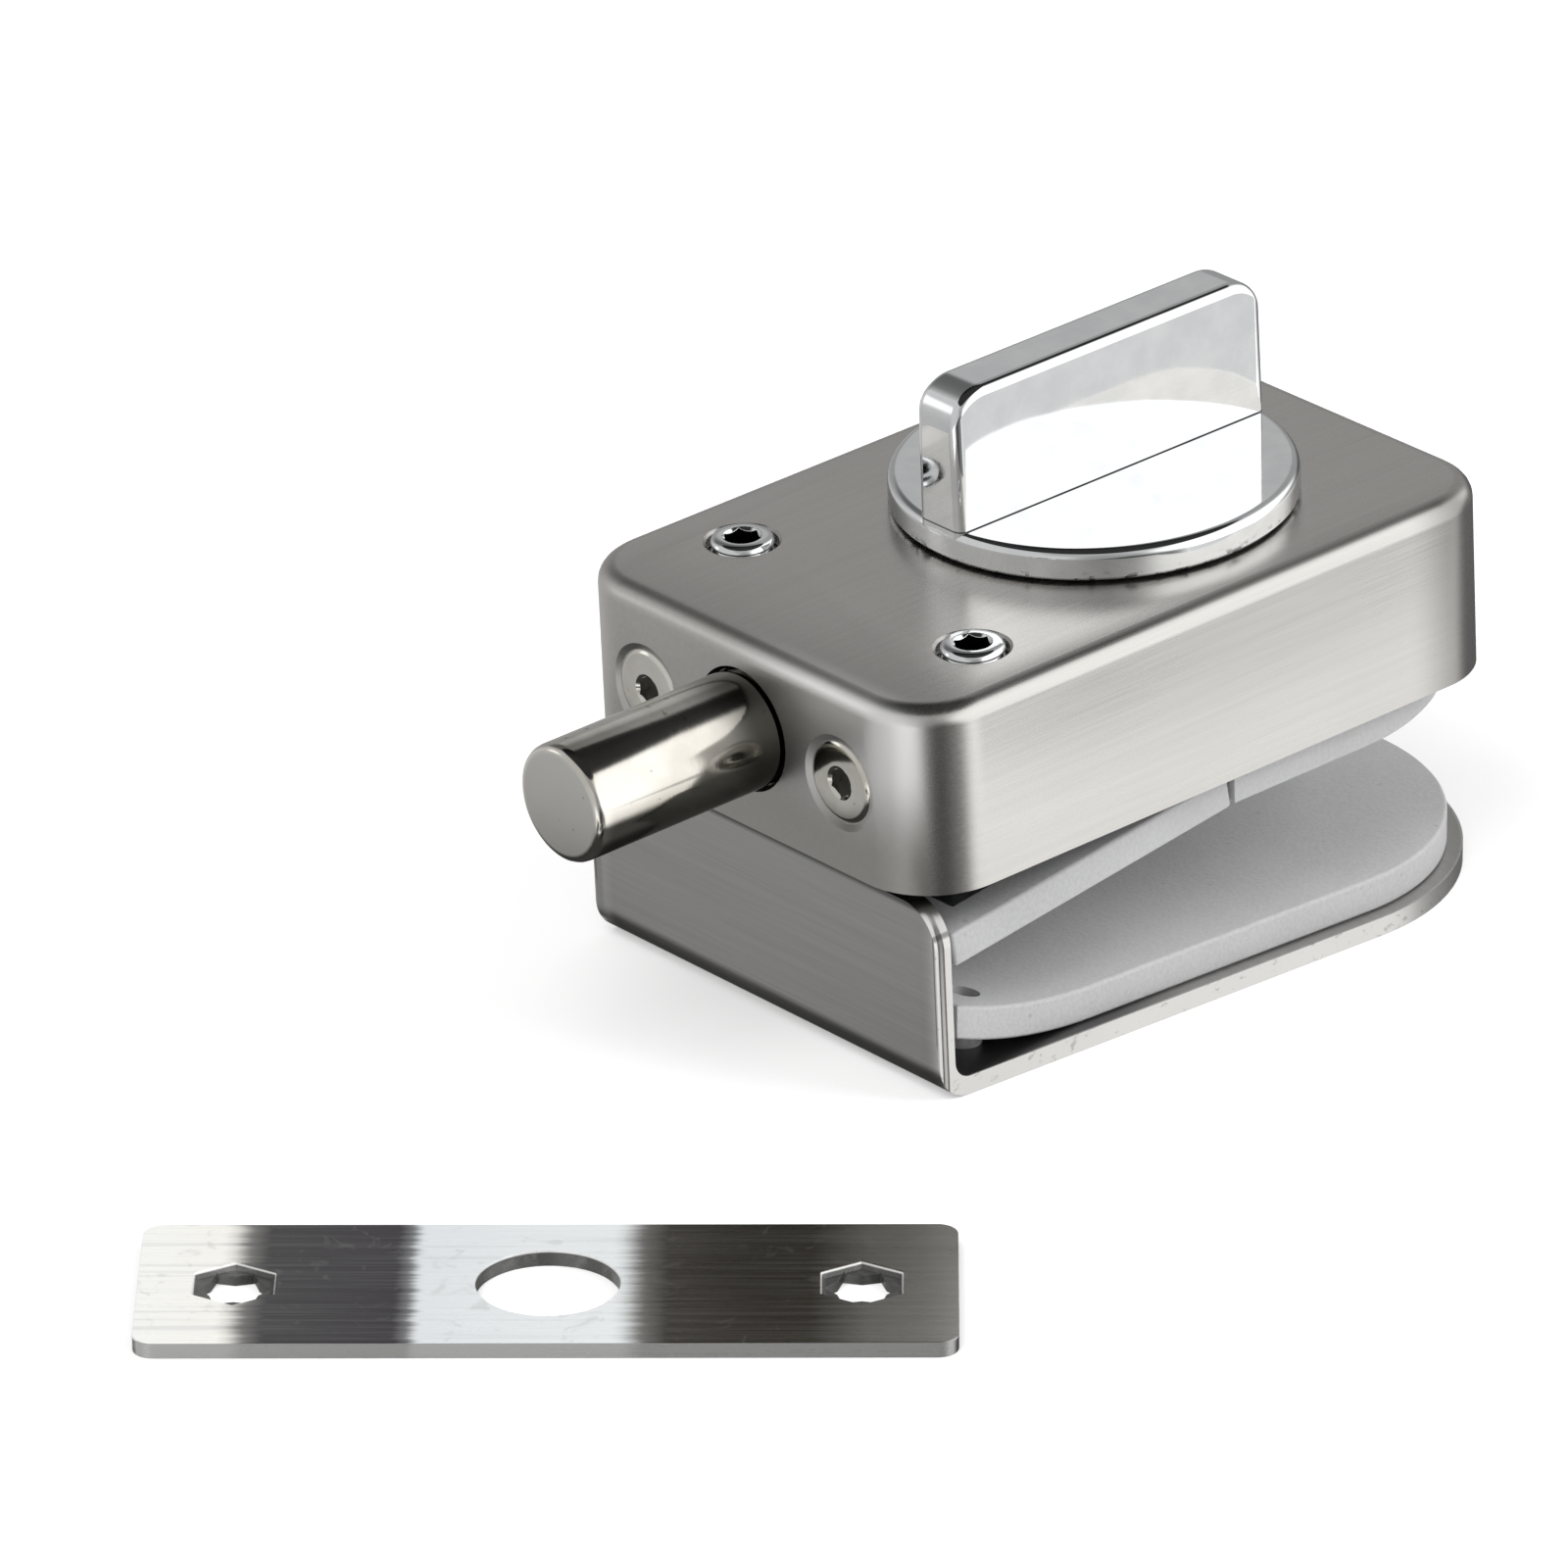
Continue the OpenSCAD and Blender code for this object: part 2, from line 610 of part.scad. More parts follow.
module upper_pad_rear() color([0.7, 0.71, 0.73]) lock() translate([0, 0, pivot_z])
    linear_extrude(pad_t) tongue_plan(pad_r, pivot_y + pad_split / 2, leg_end);

// what rides on the pressure plate is drawn level and tilted about its pivot
module tilted() {
    translate([0, pivot_y, pivot_z]) rotate([pad_tilt, 0, 0]) translate([0, -pivot_y, -pivot_z]) children();
}

plate_y0 = 8;
plate_y1 = pivot_y - 0.9;
module upper_pad_front() color([0.7, 0.71, 0.73]) lock() tilted() translate([0, 0, pivot_z]) difference() {
    linear_extrude(pad_t)
        translate([0, pad_front]) round_rect(2 * pad_r, pivot_y - pad_split / 2 - pad_front, 0.6);
    translate([-plate_half_w - fit_gap, plate_y0 - fit_gap, pad_t - plate_t - run_gap])
        cube([2 * (plate_half_w + fit_gap), plate_y1 - plate_y0 + 2 * fit_gap, plate_t + 1]);
}

// two hooks at the plate's rear edge hang in the base plate's slots
hook_x = 10;
hook_neck = 5;
hook_head = 8;
hook_head_z = base_t + 0.9;
hook_h = hook_head_z + 1;
hook_slot_y0 = plate_y1 - plate_t - 2.6;
hook_slot_y1 = plate_y1 + 0.4;
module pressure_plate() steel(0.58) lock() tilted() translate([0, 0, pivot_z + pad_t - plate_t]) {
    translate([-plate_half_w, plate_y0, 0]) cube([2 * plate_half_w, plate_y1 - plate_y0, plate_t]);
    for (side = [-1, 1]) translate([side * hook_x, plate_y1 - plate_t, 0]) {
        translate([-hook_neck / 2, 0, 0]) cube([hook_neck, plate_t, plate_t + hook_h]);
        translate([-hook_head / 2, 0, plate_t + hook_head_z]) cube([hook_head, plate_t, 1]);
    }
}

module clamp_screw(side) color([0.8, 0.8, 0.8]) lock() translate([side * clamp_x, clamp_y, screw_tip]) {
    tip_r = screw_tip_r;
    difference() {
        union() {
            translate([0, 0, tip_r]) sphere(tip_r);
            translate([0, 0, tip_r]) cylinder(r1 = tip_r, r2 = clamp_d / 2, h = clamp_d / 2 - tip_r);
            translate([0, 0, clamp_d / 2]) cylinder(r = clamp_d / 2, h = clamp_l - clamp_d / 2 - 0.4);
            translate([0, 0, clamp_l - 0.4]) cylinder(r1 = clamp_d / 2, r2 = clamp_d / 2 - 0.4, h = 0.4);
        }
        translate([0, 0, clamp_l - 3.2]) cylinder(d = clamp_socket / cos(30), h = 4, $fn = 6);
    }
}
module clamp_screw_left() clamp_screw(-1);
module clamp_screw_right() clamp_screw(1);

// the nose is full round, and the tail is milled flat to carry the slide
tail_screw_y = [bolt_inside + 3.5, bolt_inside + tail_l - 4];
module bolt() color([0.83, 0.81, 0.76]) lock() difference() {
    union() {
        translate([0, -bolt_out, bolt_z]) rotate([-90, 0, 0])
            cylinder(r1 = bolt_r - bolt_chamfer, r2 = bolt_r, h = bolt_chamfer, $fn = 96);
        translate([0, -bolt_out + bolt_chamfer, bolt_z]) rotate([-90, 0, 0]) {
            cylinder(r = bolt_r, h = bolt_out - bolt_chamfer - relief_out, $fn = 96);
            cylinder(r = bolt_r - relief_t, h = bolt_out - bolt_chamfer + relief_w, $fn = 96);
        }
        translate([0, relief_w - relief_out, bolt_z]) rotate([-90, 0, 0])
            cylinder(r = bolt_r, h = bolt_inside + tail_l - relief_w + relief_out, $fn = 96);
    }
    translate([-bolt_r - 1, bolt_inside, tail_z]) cube([bolt_d + 2, tail_l + 1, bolt_d]);
    for (y = tail_screw_y) translate([0, y, slide_top - slide_screw_l - tap_spare])
        tapped_hole(small_d, slide_screw_l + tap_spare);
}

// the stem is screwed on the tail, and the crank pin works in the cross slot
module bolt_slide() steel(0.62) lock() translate([0, 0, tail_z]) difference() {
    head_y0 = pin_y - slot_half - head_rim;
    union() {
        translate([-stem_w / 2, bolt_inside + 0.3, 0])
            cube([stem_w, head_y0 - bolt_inside + 1, slide_t]);
        translate([-head_half_w, head_y0, 0])
            cube([2 * head_half_w, 2 * (slot_half + head_rim), slide_t]);
    }
    translate([pin_x - pin_r - 0.4, pin_y - slot_half, -1])
        cube([crank_r - pin_x + 2 * pin_r + 0.8, 2 * slot_half, slide_t + 2]);
    for (y = tail_screw_y) translate([0, y, slide_t]) mirror([0, 0, 1])
        countersunk_seat(small_d, small_head_d, slide_t + 1);
}

module slide_screws() steel(0.5) lock()
    for (y = tail_screw_y) translate([0, y, slide_top]) mirror([0, 0, 1])
        countersunk_screw(small_d, small_head_d, slide_screw_l, 2);

module knob() color([0.86, 0.87, 0.88]) lock() translate([0, knob_y, disc_z]) difference() {
    union() {
        rotate_extrude($fn = 128) {
            square([knob_d / 2 - disc_edge_r, disc_t]);
            square([knob_d / 2, disc_t - disc_edge_r]);
            translate([knob_d / 2 - disc_edge_r, disc_t - disc_edge_r]) circle(disc_edge_r, $fn = 32);
        }
        intersection() {
            cylinder(r = knob_d / 2, h = disc_t + tab_h, $fn = 128);
            rotate([90, 0, 90]) translate([0, 0, -tab_t / 2]) linear_extrude(tab_t) {
                top = disc_t + tab_h;
                translate([-knob_d / 2, 0]) square([knob_d, top - tab_corner_r]);
                translate([-knob_d / 2 + tab_corner_r, 0]) square([knob_d - 2 * tab_corner_r, top]);
                for (y = [-1, 1]) translate([y * (knob_d / 2 - tab_corner_r), top - tab_corner_r])
                    circle(tab_corner_r);
            }
            translate([0, knob_d / 2, 0]) rotate([90, 0, 0]) linear_extrude(knob_d)
                polygon([
                    [-tab_t / 2, 0], [tab_t / 2, 0], [tab_t / 2, disc_t],
                    [tab_t / 2 - tab_draft, disc_t + tab_h], [-tab_t / 2 + tab_draft, disc_t + tab_h],
                    [-tab_t / 2, disc_t]
                ]);
        }
    }
    translate([0, 0, -1]) cylinder(r = spindle_d / 2 + 0.01, h = spindle_seat + 1);
}

// the square end stops short, so that the countersunk screw clamps the crank
crank_screw_in = 0.05;
square_short = 0.7;
module knob_spindle() steel(0.6) lock() translate([0, knob_y, crank_z]) difference() {
    union() {
        translate([0, 0, crank_t]) cylinder(r = spindle_d / 2, h = disc_z + spindle_seat - crank_top);
        translate([-spindle_square / 2, -spindle_square / 2, square_short])
            cube([spindle_square, spindle_square, crank_t - square_short + 0.5]);
    }
    translate([0, 0, crank_screw_in])
        countersunk_seat(small_d, small_head_d, crank_screw_l + tap_spare);
}

// the arm points to the pin, an eighth of a turn short of square
module crank() steel(0.57) lock() translate([0, knob_y, crank_z]) difference() {
    linear_extrude(crank_t) {
        circle(crank_hub_r);
        rotate(-swing) translate([0, -crank_arm_w / 2]) square([crank_r, crank_arm_w]);
        rotate(-swing) translate([crank_r, 0]) circle(crank_arm_w / 2);
    }
    translate([-spindle_square / 2 - 0.02, -spindle_square / 2 - 0.02, -1])
        cube([spindle_square + 0.04, spindle_square + 0.04, crank_t + 2]);
    translate([0, 0, crank_screw_in]) countersunk_seat(small_d, small_head_d, 2);
    translate([0, 0, -1]) cylinder(r = small_head_d / 2 + 0.06, h = 1 + crank_screw_in);
    rotate(-swing) translate([crank_r, 0, -1]) cylinder(r = pin_r - 0.5, h = crank_t + 2);
}

module crank_pin() steel(0.8) lock() translate([pin_x, pin_y, 0]) {
    translate([0, 0, tail_z + 0.2]) cylinder(r = pin_r, h = crank_z - tail_z - 0.2);
    translate([0, 0, crank_z - 0.1]) cylinder(r = pin_r - 0.52, h = crank_t + 0.1);
}

module crank_screw() steel(0.5) lock() translate([0, knob_y, crank_z + crank_screw_in])
    countersunk_screw(small_d, small_head_d, crank_screw_l, 2);

module star(w) for (turn = [0, 30]) rotate(turn) circle(d = w, $fn = 3);

// the strike plate lies beside the lock, on what the leg stands on
module strike_plate() steel(0.7) lock() on_leg() translate([strike_at[0], strike_at[1], 0])
    rotate([0, 0, strike_turn]) difference() {
        linear_extrude(strike_t) translate([0, -strike_w / 2]) round_rect(strike_l, strike_w, 1.6);
        translate([0, 0, -1]) cylinder(r = strike_hole_d / 2, h = strike_t + 2, $fn = 96);
        for (side = [-1, 1]) translate([side * strike_pitch / 2, 0, 0]) {
            translate([0, 0, strike_t - dimple_t]) cylinder(d = dimple_w, h = 1, $fn = 6);
            for (turn = [0, 60]) rotate(turn) translate([0, 0, -1])
                cylinder(d = star_w * 1.15, h = strike_t + 2, $fn = 3);
        }
    }

case_cover();
clamp_bracket();
base_plate();
bolt_guide();
front_screws();
guide_screws();
clamp_bushes();
slide_rails();
rail_screws();
rear_posts();
rear_screws();
spindle_bush();
wave_washer();
lower_pad();
pad_pegs();
upper_pad_rear();
upper_pad_front();
pressure_plate();
clamp_screw_left();
clamp_screw_right();
bolt();
bolt_slide();
slide_screws();
knob();
knob_spindle();
crank();
crank_pin();
crank_screw();
strike_plate();
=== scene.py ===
import math

import bmesh
import bpy
from mathutils import Matrix, Vector


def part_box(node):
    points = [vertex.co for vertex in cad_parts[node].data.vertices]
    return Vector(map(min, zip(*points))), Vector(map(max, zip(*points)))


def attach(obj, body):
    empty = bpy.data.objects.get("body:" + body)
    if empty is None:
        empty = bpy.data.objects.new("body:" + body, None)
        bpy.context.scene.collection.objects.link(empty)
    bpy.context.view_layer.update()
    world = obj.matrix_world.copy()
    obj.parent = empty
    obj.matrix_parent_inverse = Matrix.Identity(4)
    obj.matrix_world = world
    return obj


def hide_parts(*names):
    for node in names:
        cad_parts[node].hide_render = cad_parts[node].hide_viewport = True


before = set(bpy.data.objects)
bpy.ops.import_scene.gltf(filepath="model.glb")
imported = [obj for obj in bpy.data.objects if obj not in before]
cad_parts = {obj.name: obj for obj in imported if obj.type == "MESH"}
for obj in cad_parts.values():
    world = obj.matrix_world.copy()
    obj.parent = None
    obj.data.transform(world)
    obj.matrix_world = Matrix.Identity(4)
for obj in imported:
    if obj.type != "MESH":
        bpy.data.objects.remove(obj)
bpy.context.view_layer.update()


# Cover: a box deep-drawn from 1.2 mm stainless sheet and open below. Its holes are
# pierced, and it is brushed along the bolt before the small edges are broken.
mm = 0.001
tiny = 1e-6
cover_low, cover_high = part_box("case_cover")
wall, corner_r, rim_r = 1.2 * mm, 7.5 * mm, 1.8 * mm
front_screw_x, front_screw_z = 13, 8.7
clamp_x, clamp_y = 15.5, 13.8
bolt_z, knob_y = 9.5, 42
bolt_hole_r, knob_hole_r, clamp_hole_r = 5.85, 6.55, 3.3
sink_depth, sink_r, sink_end_r = 2.0, 4.02, 2.02
hole_steps = 96


def at(x, y, z):
    """Millimetres from the middle of the cover's front, at its lower rim."""
    return Vector((x * mm, cover_low.y + y * mm, cover_low.z + z * mm))


def block(low, high):
    """A box between two corners."""
    bm = bmesh.new()
    made = bmesh.ops.create_cube(bm, size=1)["verts"]
    bmesh.ops.scale(bm, vec=high - low, verts=made)
    bmesh.ops.translate(bm, vec=(low + high) / 2, verts=made)
    return bm


def bar(start, end, r_start, r_end=None, steps=hole_steps):
    """A round bar or cone from one point to another."""
    bm = bmesh.new()
    along = end - start
    bmesh.ops.create_cone(
        bm, cap_ends=True, segments=steps, depth=along.length,
        radius1=r_start, radius2=r_start if r_end is None else r_end,
        matrix=Matrix.Translation((start + end) / 2) @ along.to_track_quat("Z", "Y").to_matrix().to_4x4(),
    )
    return bm


def upright(bm):
    """The edges that stand up."""
    return [e for e in bm.edges if abs((e.verts[0].co - e.verts[1].co).z) > mm]


def round_off(bm, edges, radius, steps):
    """Rounds edges of a mesh that is still being shaped."""
    bmesh.ops.bevel(
        bm, geom=edges, offset=radius, offset_type="OFFSET", segments=steps,
        profile=0.5, affect="EDGES", material=-1, clamp_overlap=False,
    )


def make(name, bm):
    """An object whose mesh is the finished bmesh."""
    bmesh.ops.recalc_face_normals(bm, faces=bm.faces[:])
    mesh = bpy.data.meshes.new(name)
    bm.to_mesh(mesh)
    bm.free()
    piece = bpy.data.objects.new(name, mesh)
    bpy.context.scene.collection.objects.link(piece)
    return piece


def carve(piece, tool, operation="DIFFERENCE"):
    """Cuts a piece with a shape that is thrown away after."""
    knife = make("knife", tool)
    step = piece.modifiers.new("carve", "BOOLEAN")
    step.operation, step.solver, step.object = operation, "MANIFOLD", knife
    bpy.context.view_layer.update()
    shaped = bpy.data.meshes.new_from_object(piece.evaluated_get(bpy.context.evaluated_depsgraph_get()))
    piece.modifiers.remove(step)
    piece.data = shaped
    bpy.data.objects.remove(knife)


def soften(piece, width, steps=2, angle=35):
    """Breaks the sharp edges and keeps the flats flat in the shading."""
    piece.data.shade_smooth()
    if width:
        edge = piece.modifiers.new("edges", "BEVEL")
        edge.limit_method, edge.angle_limit = "ANGLE", math.radians(angle)
        edge.width, edge.segments, edge.use_clamp_overlap = width, steps, True
        edge.harden_normals = True
    else:
        piece.data.set_sharp_from_angle(angle=math.radians(angle))
        flat = piece.modifiers.new("flats", "WEIGHTED_NORMAL")
        flat.keep_sharp, flat.weight = True, 90


def dress(piece, body, slot, surface, *nodes):
    """Puts a finished piece on its body, in its material, in place of CAD nodes."""
    piece.data.materials.clear()
    piece.data.materials.append(surface.material)
    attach(piece, body)
    if nodes:
        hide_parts(*nodes)


class Field:
    """A value that changes over a surface. Reckoning with it adds Math nodes."""

    def __init__(self, surface, socket):
        self.surface, self.socket = surface, socket

    def _reckon(self, operation, first, second):
        return self.surface.node("ShaderNodeMath", {"operation": operation}, {0: first, 1: second})

    def __add__(self, other):
        return self._reckon("ADD", self, other)

    def __sub__(self, other):
        return self._reckon("SUBTRACT", self, other)

    def __rsub__(self, other):
        return self._reckon("SUBTRACT", other, self)

    def __mul__(self, other):
        return self._reckon("MULTIPLY", self, other)

    def __truediv__(self, other):
        return self._reckon("DIVIDE", self, other)

    __radd__, __rmul__ = __add__, __mul__

    def __abs__(self):
        return self._reckon("ABSOLUTE", self, 0)

    def at_least(self, least):
        return self._reckon("MAXIMUM", self, least)

    def root(self):
        return self._reckon("SQRT", self, 0)

    def between(self, low, high):
        """0 below low and 1 above high, with a soft step; high may be the lower one."""
        return self.surface.node(
            "ShaderNodeMapRange", {"interpolation_type": "SMOOTHSTEP", "clamp": True},
            {"Value": self, "From Min": low, "From Max": high},
        )


class Surface:
    """A material in the making, or the world's."""

    def __init__(self, name, tree=None):
        if tree is None:
            self.material = bpy.data.materials.new(name)
            self.material.use_nodes = True
            tree = self.material.node_tree
        self.tree = tree
        self.tree.nodes.clear()

    def node(self, kind, settings=None, inputs=None, out=0):
        made = self.tree.nodes.new(kind)
        for key, value in (settings or {}).items():
            if key == "stops":
                ramp = made.color_ramp.elements
                while len(ramp) < len(value):
                    ramp.new(1)
                for stop, (place, colour) in zip(ramp, value):
                    stop.position, stop.color = place, (*colour, 1)
            else:
                setattr(made, key, value)
        for key, value in (inputs or {}).items():
            if isinstance(value, Field):
                self.tree.links.new(value.socket, made.inputs[key])
            else:
                made.inputs[key].default_value = value
        return Field(self, made.outputs[out]) if made.outputs else None

    def spot(self, scale=(1, 1, 1), turn=(0, 0, 0), shift=(0, 0, 0)):
        """Object coordinates, scaled after they are turned and shifted."""
        here = self.node("ShaderNodeTexCoord", out="Object")
        here = self.node("ShaderNodeMapping", {"vector_type": "TEXTURE"},
                         {"Vector": here, "Location": shift, "Rotation": turn})
        return self.node("ShaderNodeVectorMath", {"operation": "MULTIPLY"}, {0: here, 1: scale})

    def axis(self, name, spot=None):
        """One coordinate of a spot, or else of the point itself."""
        return self.node("ShaderNodeSeparateXYZ", inputs={0: spot or self.spot()}, out=name)

    def noise(self, spot, detail=3, warp=0):
        return self.node("ShaderNodeTexNoise", inputs={
            "Vector": spot, "Scale": 1, "Detail": detail, "Roughness": 0.55, "Distortion": warp})

    def mottle(self, scale, detail=3):
        """Noise that is as fine in every direction."""
        return self.noise(self.spot((scale, scale, scale)), detail)

    def blend(self, amount, first, second):
        """Goes from one colour to another."""
        colours = {6: first, 7: second}
        for key, value in colours.items():
            if not isinstance(value, Field):
                colours[key] = (*value, 1)
        return self.node("ShaderNodeMix", {"data_type": "RGBA"}, {0: amount, **colours}, out=2)

    def relief(self, height, depth):
        return self.node("ShaderNodeBump", inputs={"Height": height, "Strength": 1, "Distance": depth})

    def shade(self, **sockets):
        """The finished surface: names are Principled's sockets with underscores."""
        look = self.node("ShaderNodeBsdfPrincipled",
                         inputs={key.replace("_", " "): value for key, value in sockets.items()})
        self.node("ShaderNodeOutputMaterial", inputs={"Surface": look})
        return self


brush_depth = 0.002 * mm


def brushed(name, dark, light, rough, marks, along="y", rolled=None):
    """Sheet brushed along one axis: long fine grain, faint clouds and a few deeper scratches."""
    surface = Surface(name)
    fine = [5200, 5200, 5200]
    fine["xyz".index(along)] = 90
    coarse = [1500, 1500, 1500]
    coarse["xyz".index(along)] = 30
    grain = surface.noise(surface.spot(fine), detail=2)
    streaks = surface.noise(surface.spot(coarse), detail=2)
    clouds = surface.mottle(38, detail=2)
    scratches = surface.noise(surface.spot([v * 0.4 for v in fine]), detail=1).between(0.74, 0.80)
    tone = grain * 0.45 + streaks * 0.35 + clouds * 0.2
    colour = surface.blend(tone.between(0.25, 0.75), dark, light)
    colour = surface.blend(scratches * 0.2, colour, [v * 0.6 for v in dark])
    # Each mark blends in its colour: painted light and shade, and on the bracket also pits.
    for place, shown in marks(surface, clouds):
        colour = surface.blend(place, colour, shown)
    height = grain * 0.6 + streaks * 0.5 + clouds * 2
    if rolled:
        height = height - rolled(surface) / brush_depth
    dull = rough(surface) if callable(rough) else rough
    return surface.shade(
        Base_Color=colour, Metallic=1.0,
        Roughness=dull + (grain - 0.5) * 0.10 + (clouds - 0.5) * 0.12,
        Normal=surface.relief(height, brush_depth),
    )


bm = block(cover_low, cover_high)
round_off(bm, upright(bm), corner_r, 16)
top_rim = [e for e in bm.edges if all(v.co.z > cover_high.z - tiny for v in e.verts)]
round_off(bm, top_rim, rim_r, 6)
inside = bm.copy()
bmesh.ops.translate(inside, vec=(0, 0, -wall), verts=inside.verts[:])
middle = (cover_low + cover_high) / 2
size = cover_high - cover_low
for v in inside.verts:
    v.co.x *= 1 - 2 * wall / size.x
    v.co.y = middle.y + (v.co.y - middle.y) * (1 - 2 * wall / size.y)
cover = make("cover", bm)
carve(cover, inside)
for x in (-front_screw_x, front_screw_x):
    start, end = at(x, -0.02, front_screw_z), at(x, sink_depth - 0.02, front_screw_z)
    carve(cover, bar(start, end, sink_r * mm, sink_end_r * mm))
    carve(cover, bar(at(x, -0.10, front_screw_z), at(x, 0.28, front_screw_z), 4.75 * mm, 3.9 * mm))
for x in (-clamp_x, clamp_x):
    carve(cover, bar(at(x, clamp_y, 15), at(x, clamp_y, 19), clamp_hole_r * mm))
    carve(cover, bar(at(x, clamp_y, 17.75), at(x, clamp_y, 18.05), 3.25 * mm, 3.62 * mm))
carve(cover, bar(at(0, -1, bolt_z), at(0, 3, bolt_z), bolt_hole_r * mm))
carve(cover, bar(at(0, knob_y, 15), at(0, knob_y, 19), knob_hole_r * mm))
soften(cover, 0.12 * mm, angle=20)


def cover_painted_light(surface, clouds):
    """Painted reflection of the dark at the drawn rear corners, which shades off into the sides, and
    on the front a painted highlight at the upper right and painted shade at the foot."""
    across, along, up = (surface.axis(name) for name in "XYZ")
    # Painted reflection: the sides are painted darker towards the rear corners.
    far = along.between(at(0, 57.5, 0).y, at(0, 65, 0).y)
    yield far * abs(across).between(22 * mm, 23.5 * mm) * 0.8, (0.22, 0.21, 0.20)
    # Painted highlight on the front's upper right, and painted shade at its foot.
    front = along.between(at(0, 3.5, 0).y, at(0, 0.8, 0).y)
    rise = up.between(at(0, 0, 2.5).z, at(0, 0, 12).z)
    yield front * rise * across.between(-4 * mm, 13 * mm), (0.97, 0.96, 0.945)
    yield front * (1 - rise) * 0.35, (0.30, 0.295, 0.28)


def cover_rough(surface):
    """The front is duller than the sides and the top, which are brushed in one stroke."""
    return 0.28 + surface.axis("Y").between(at(0, 2.5, 0).y, at(0, 0.8, 0).y) * 0.12


cover_steel = brushed("brushed cover steel", (0.58, 0.57, 0.545), (0.665, 0.652, 0.622),
                      rough=cover_rough, marks=cover_painted_light)
dress(cover, "lock_case", "cover_steel", cover_steel, "case_cover")


# Bracket: one strip of 1.8 mm stainless sheet, cut to shape and bent. The leg under the
# glass ends in a half circle, and a slit tongue reaches up behind the cover's front.
sheet = 1.8
plate_y, plate_top, plate_h = 1.3, -0.9, 15.3
plate_back = plate_y + sheet
plate_corner = 4
bend_r = 2 * sheet
half = 23.48
leg_middle, leg_reach = 54.0, 76
tongue_half, tongue_top = 17.2, 13
bolt_pass_r = 6.2
splay = math.radians(-2.8)
bend_middle = at(0, plate_y + bend_r, plate_top - plate_h)
leg = (Matrix.Translation(bend_middle) @ Matrix.Rotation(splay, 4, "X")
       @ Matrix.Translation((0, -(plate_y + bend_r) * mm, -bend_r * mm)))


def stadium(half_w, middle_y, low_z, high_z):
    """A plate with half-round ends, the front one far off, in the leg's own place."""
    bm = bar(Vector((0, middle_y, low_z)) * mm, Vector((0, middle_y, high_z)) * mm, half_w * mm, steps=128)
    front = [v for v in bm.verts if v.co.y < middle_y * mm - tiny]
    bmesh.ops.translate(bm, vec=(0, -120 * mm, 0), verts=front)
    return bm


def last_face(made):
    return [g for g in made if isinstance(g, bmesh.types.BMFace)][0]


def pull(bm, face, way):
    """Extrudes a face and gives the new one."""
    made = bmesh.ops.extrude_face_region(bm, geom=[face])["geom"]
    bmesh.ops.translate(bm, vec=way, verts=[v for v in made if isinstance(v, bmesh.types.BMVert)])
    return last_face(made)


def taken(piece):
    """The shape of a piece that was only a step on the way."""
    bm = bmesh.new()
    bm.from_mesh(piece.data)
    bpy.data.objects.remove(piece)
    return bm


bm = bmesh.new()
outline = ((-half, plate_y), (half, plate_y), (half, plate_back), (-half, plate_back))
sheet_end = bm.faces.new([bm.verts.new(at(x, y, plate_top)) for x, y in outline])
face = pull(bm, sheet_end, Vector((0, 0, -plate_h * mm)))
made = bmesh.ops.spin(
    bm, geom=[face] + face.edges[:] + face.verts[:], cent=bend_middle, axis=(1, 0, 0),
    angle=math.radians(90) + splay, steps=12, use_duplicate=False)["geom_last"]
bend_end = last_face(made)
pull(bm, bend_end, leg.to_3x3() @ Vector((0, leg_reach * mm, 0)))
bmesh.ops.delete(bm, geom=[bend_end], context="FACES_ONLY")
bracket = make("bracket", bm)
plan = stadium(half + 0.005, leg_middle, -20, 60)
plan.transform(leg)
carve(bracket, plan, "INTERSECT")
for side in (-1, 1):
    corner_x = side * (half - plate_corner)
    corner_z = plate_top - plate_corner
    bm = block(at(-3, 0, corner_z), at(3, 5, 2))
    bmesh.ops.translate(bm, vec=((corner_x + side * 3) * mm, 0, 0), verts=bm.verts[:])
    knife = make("corner", bm)
    carve(knife, bar(at(corner_x, -1, corner_z), at(corner_x, 6, corner_z), plate_corner * mm))
    carve(bracket, taken(knife))
carve(bracket, block(at(-tongue_half, plate_y, -1.5), at(tongue_half, plate_back, tongue_top)), "UNION")
carve(bracket, bar(at(0, 0, bolt_z), at(0, 5, bolt_z), bolt_pass_r * mm))
soften(bracket, 0.28 * mm, steps=3)


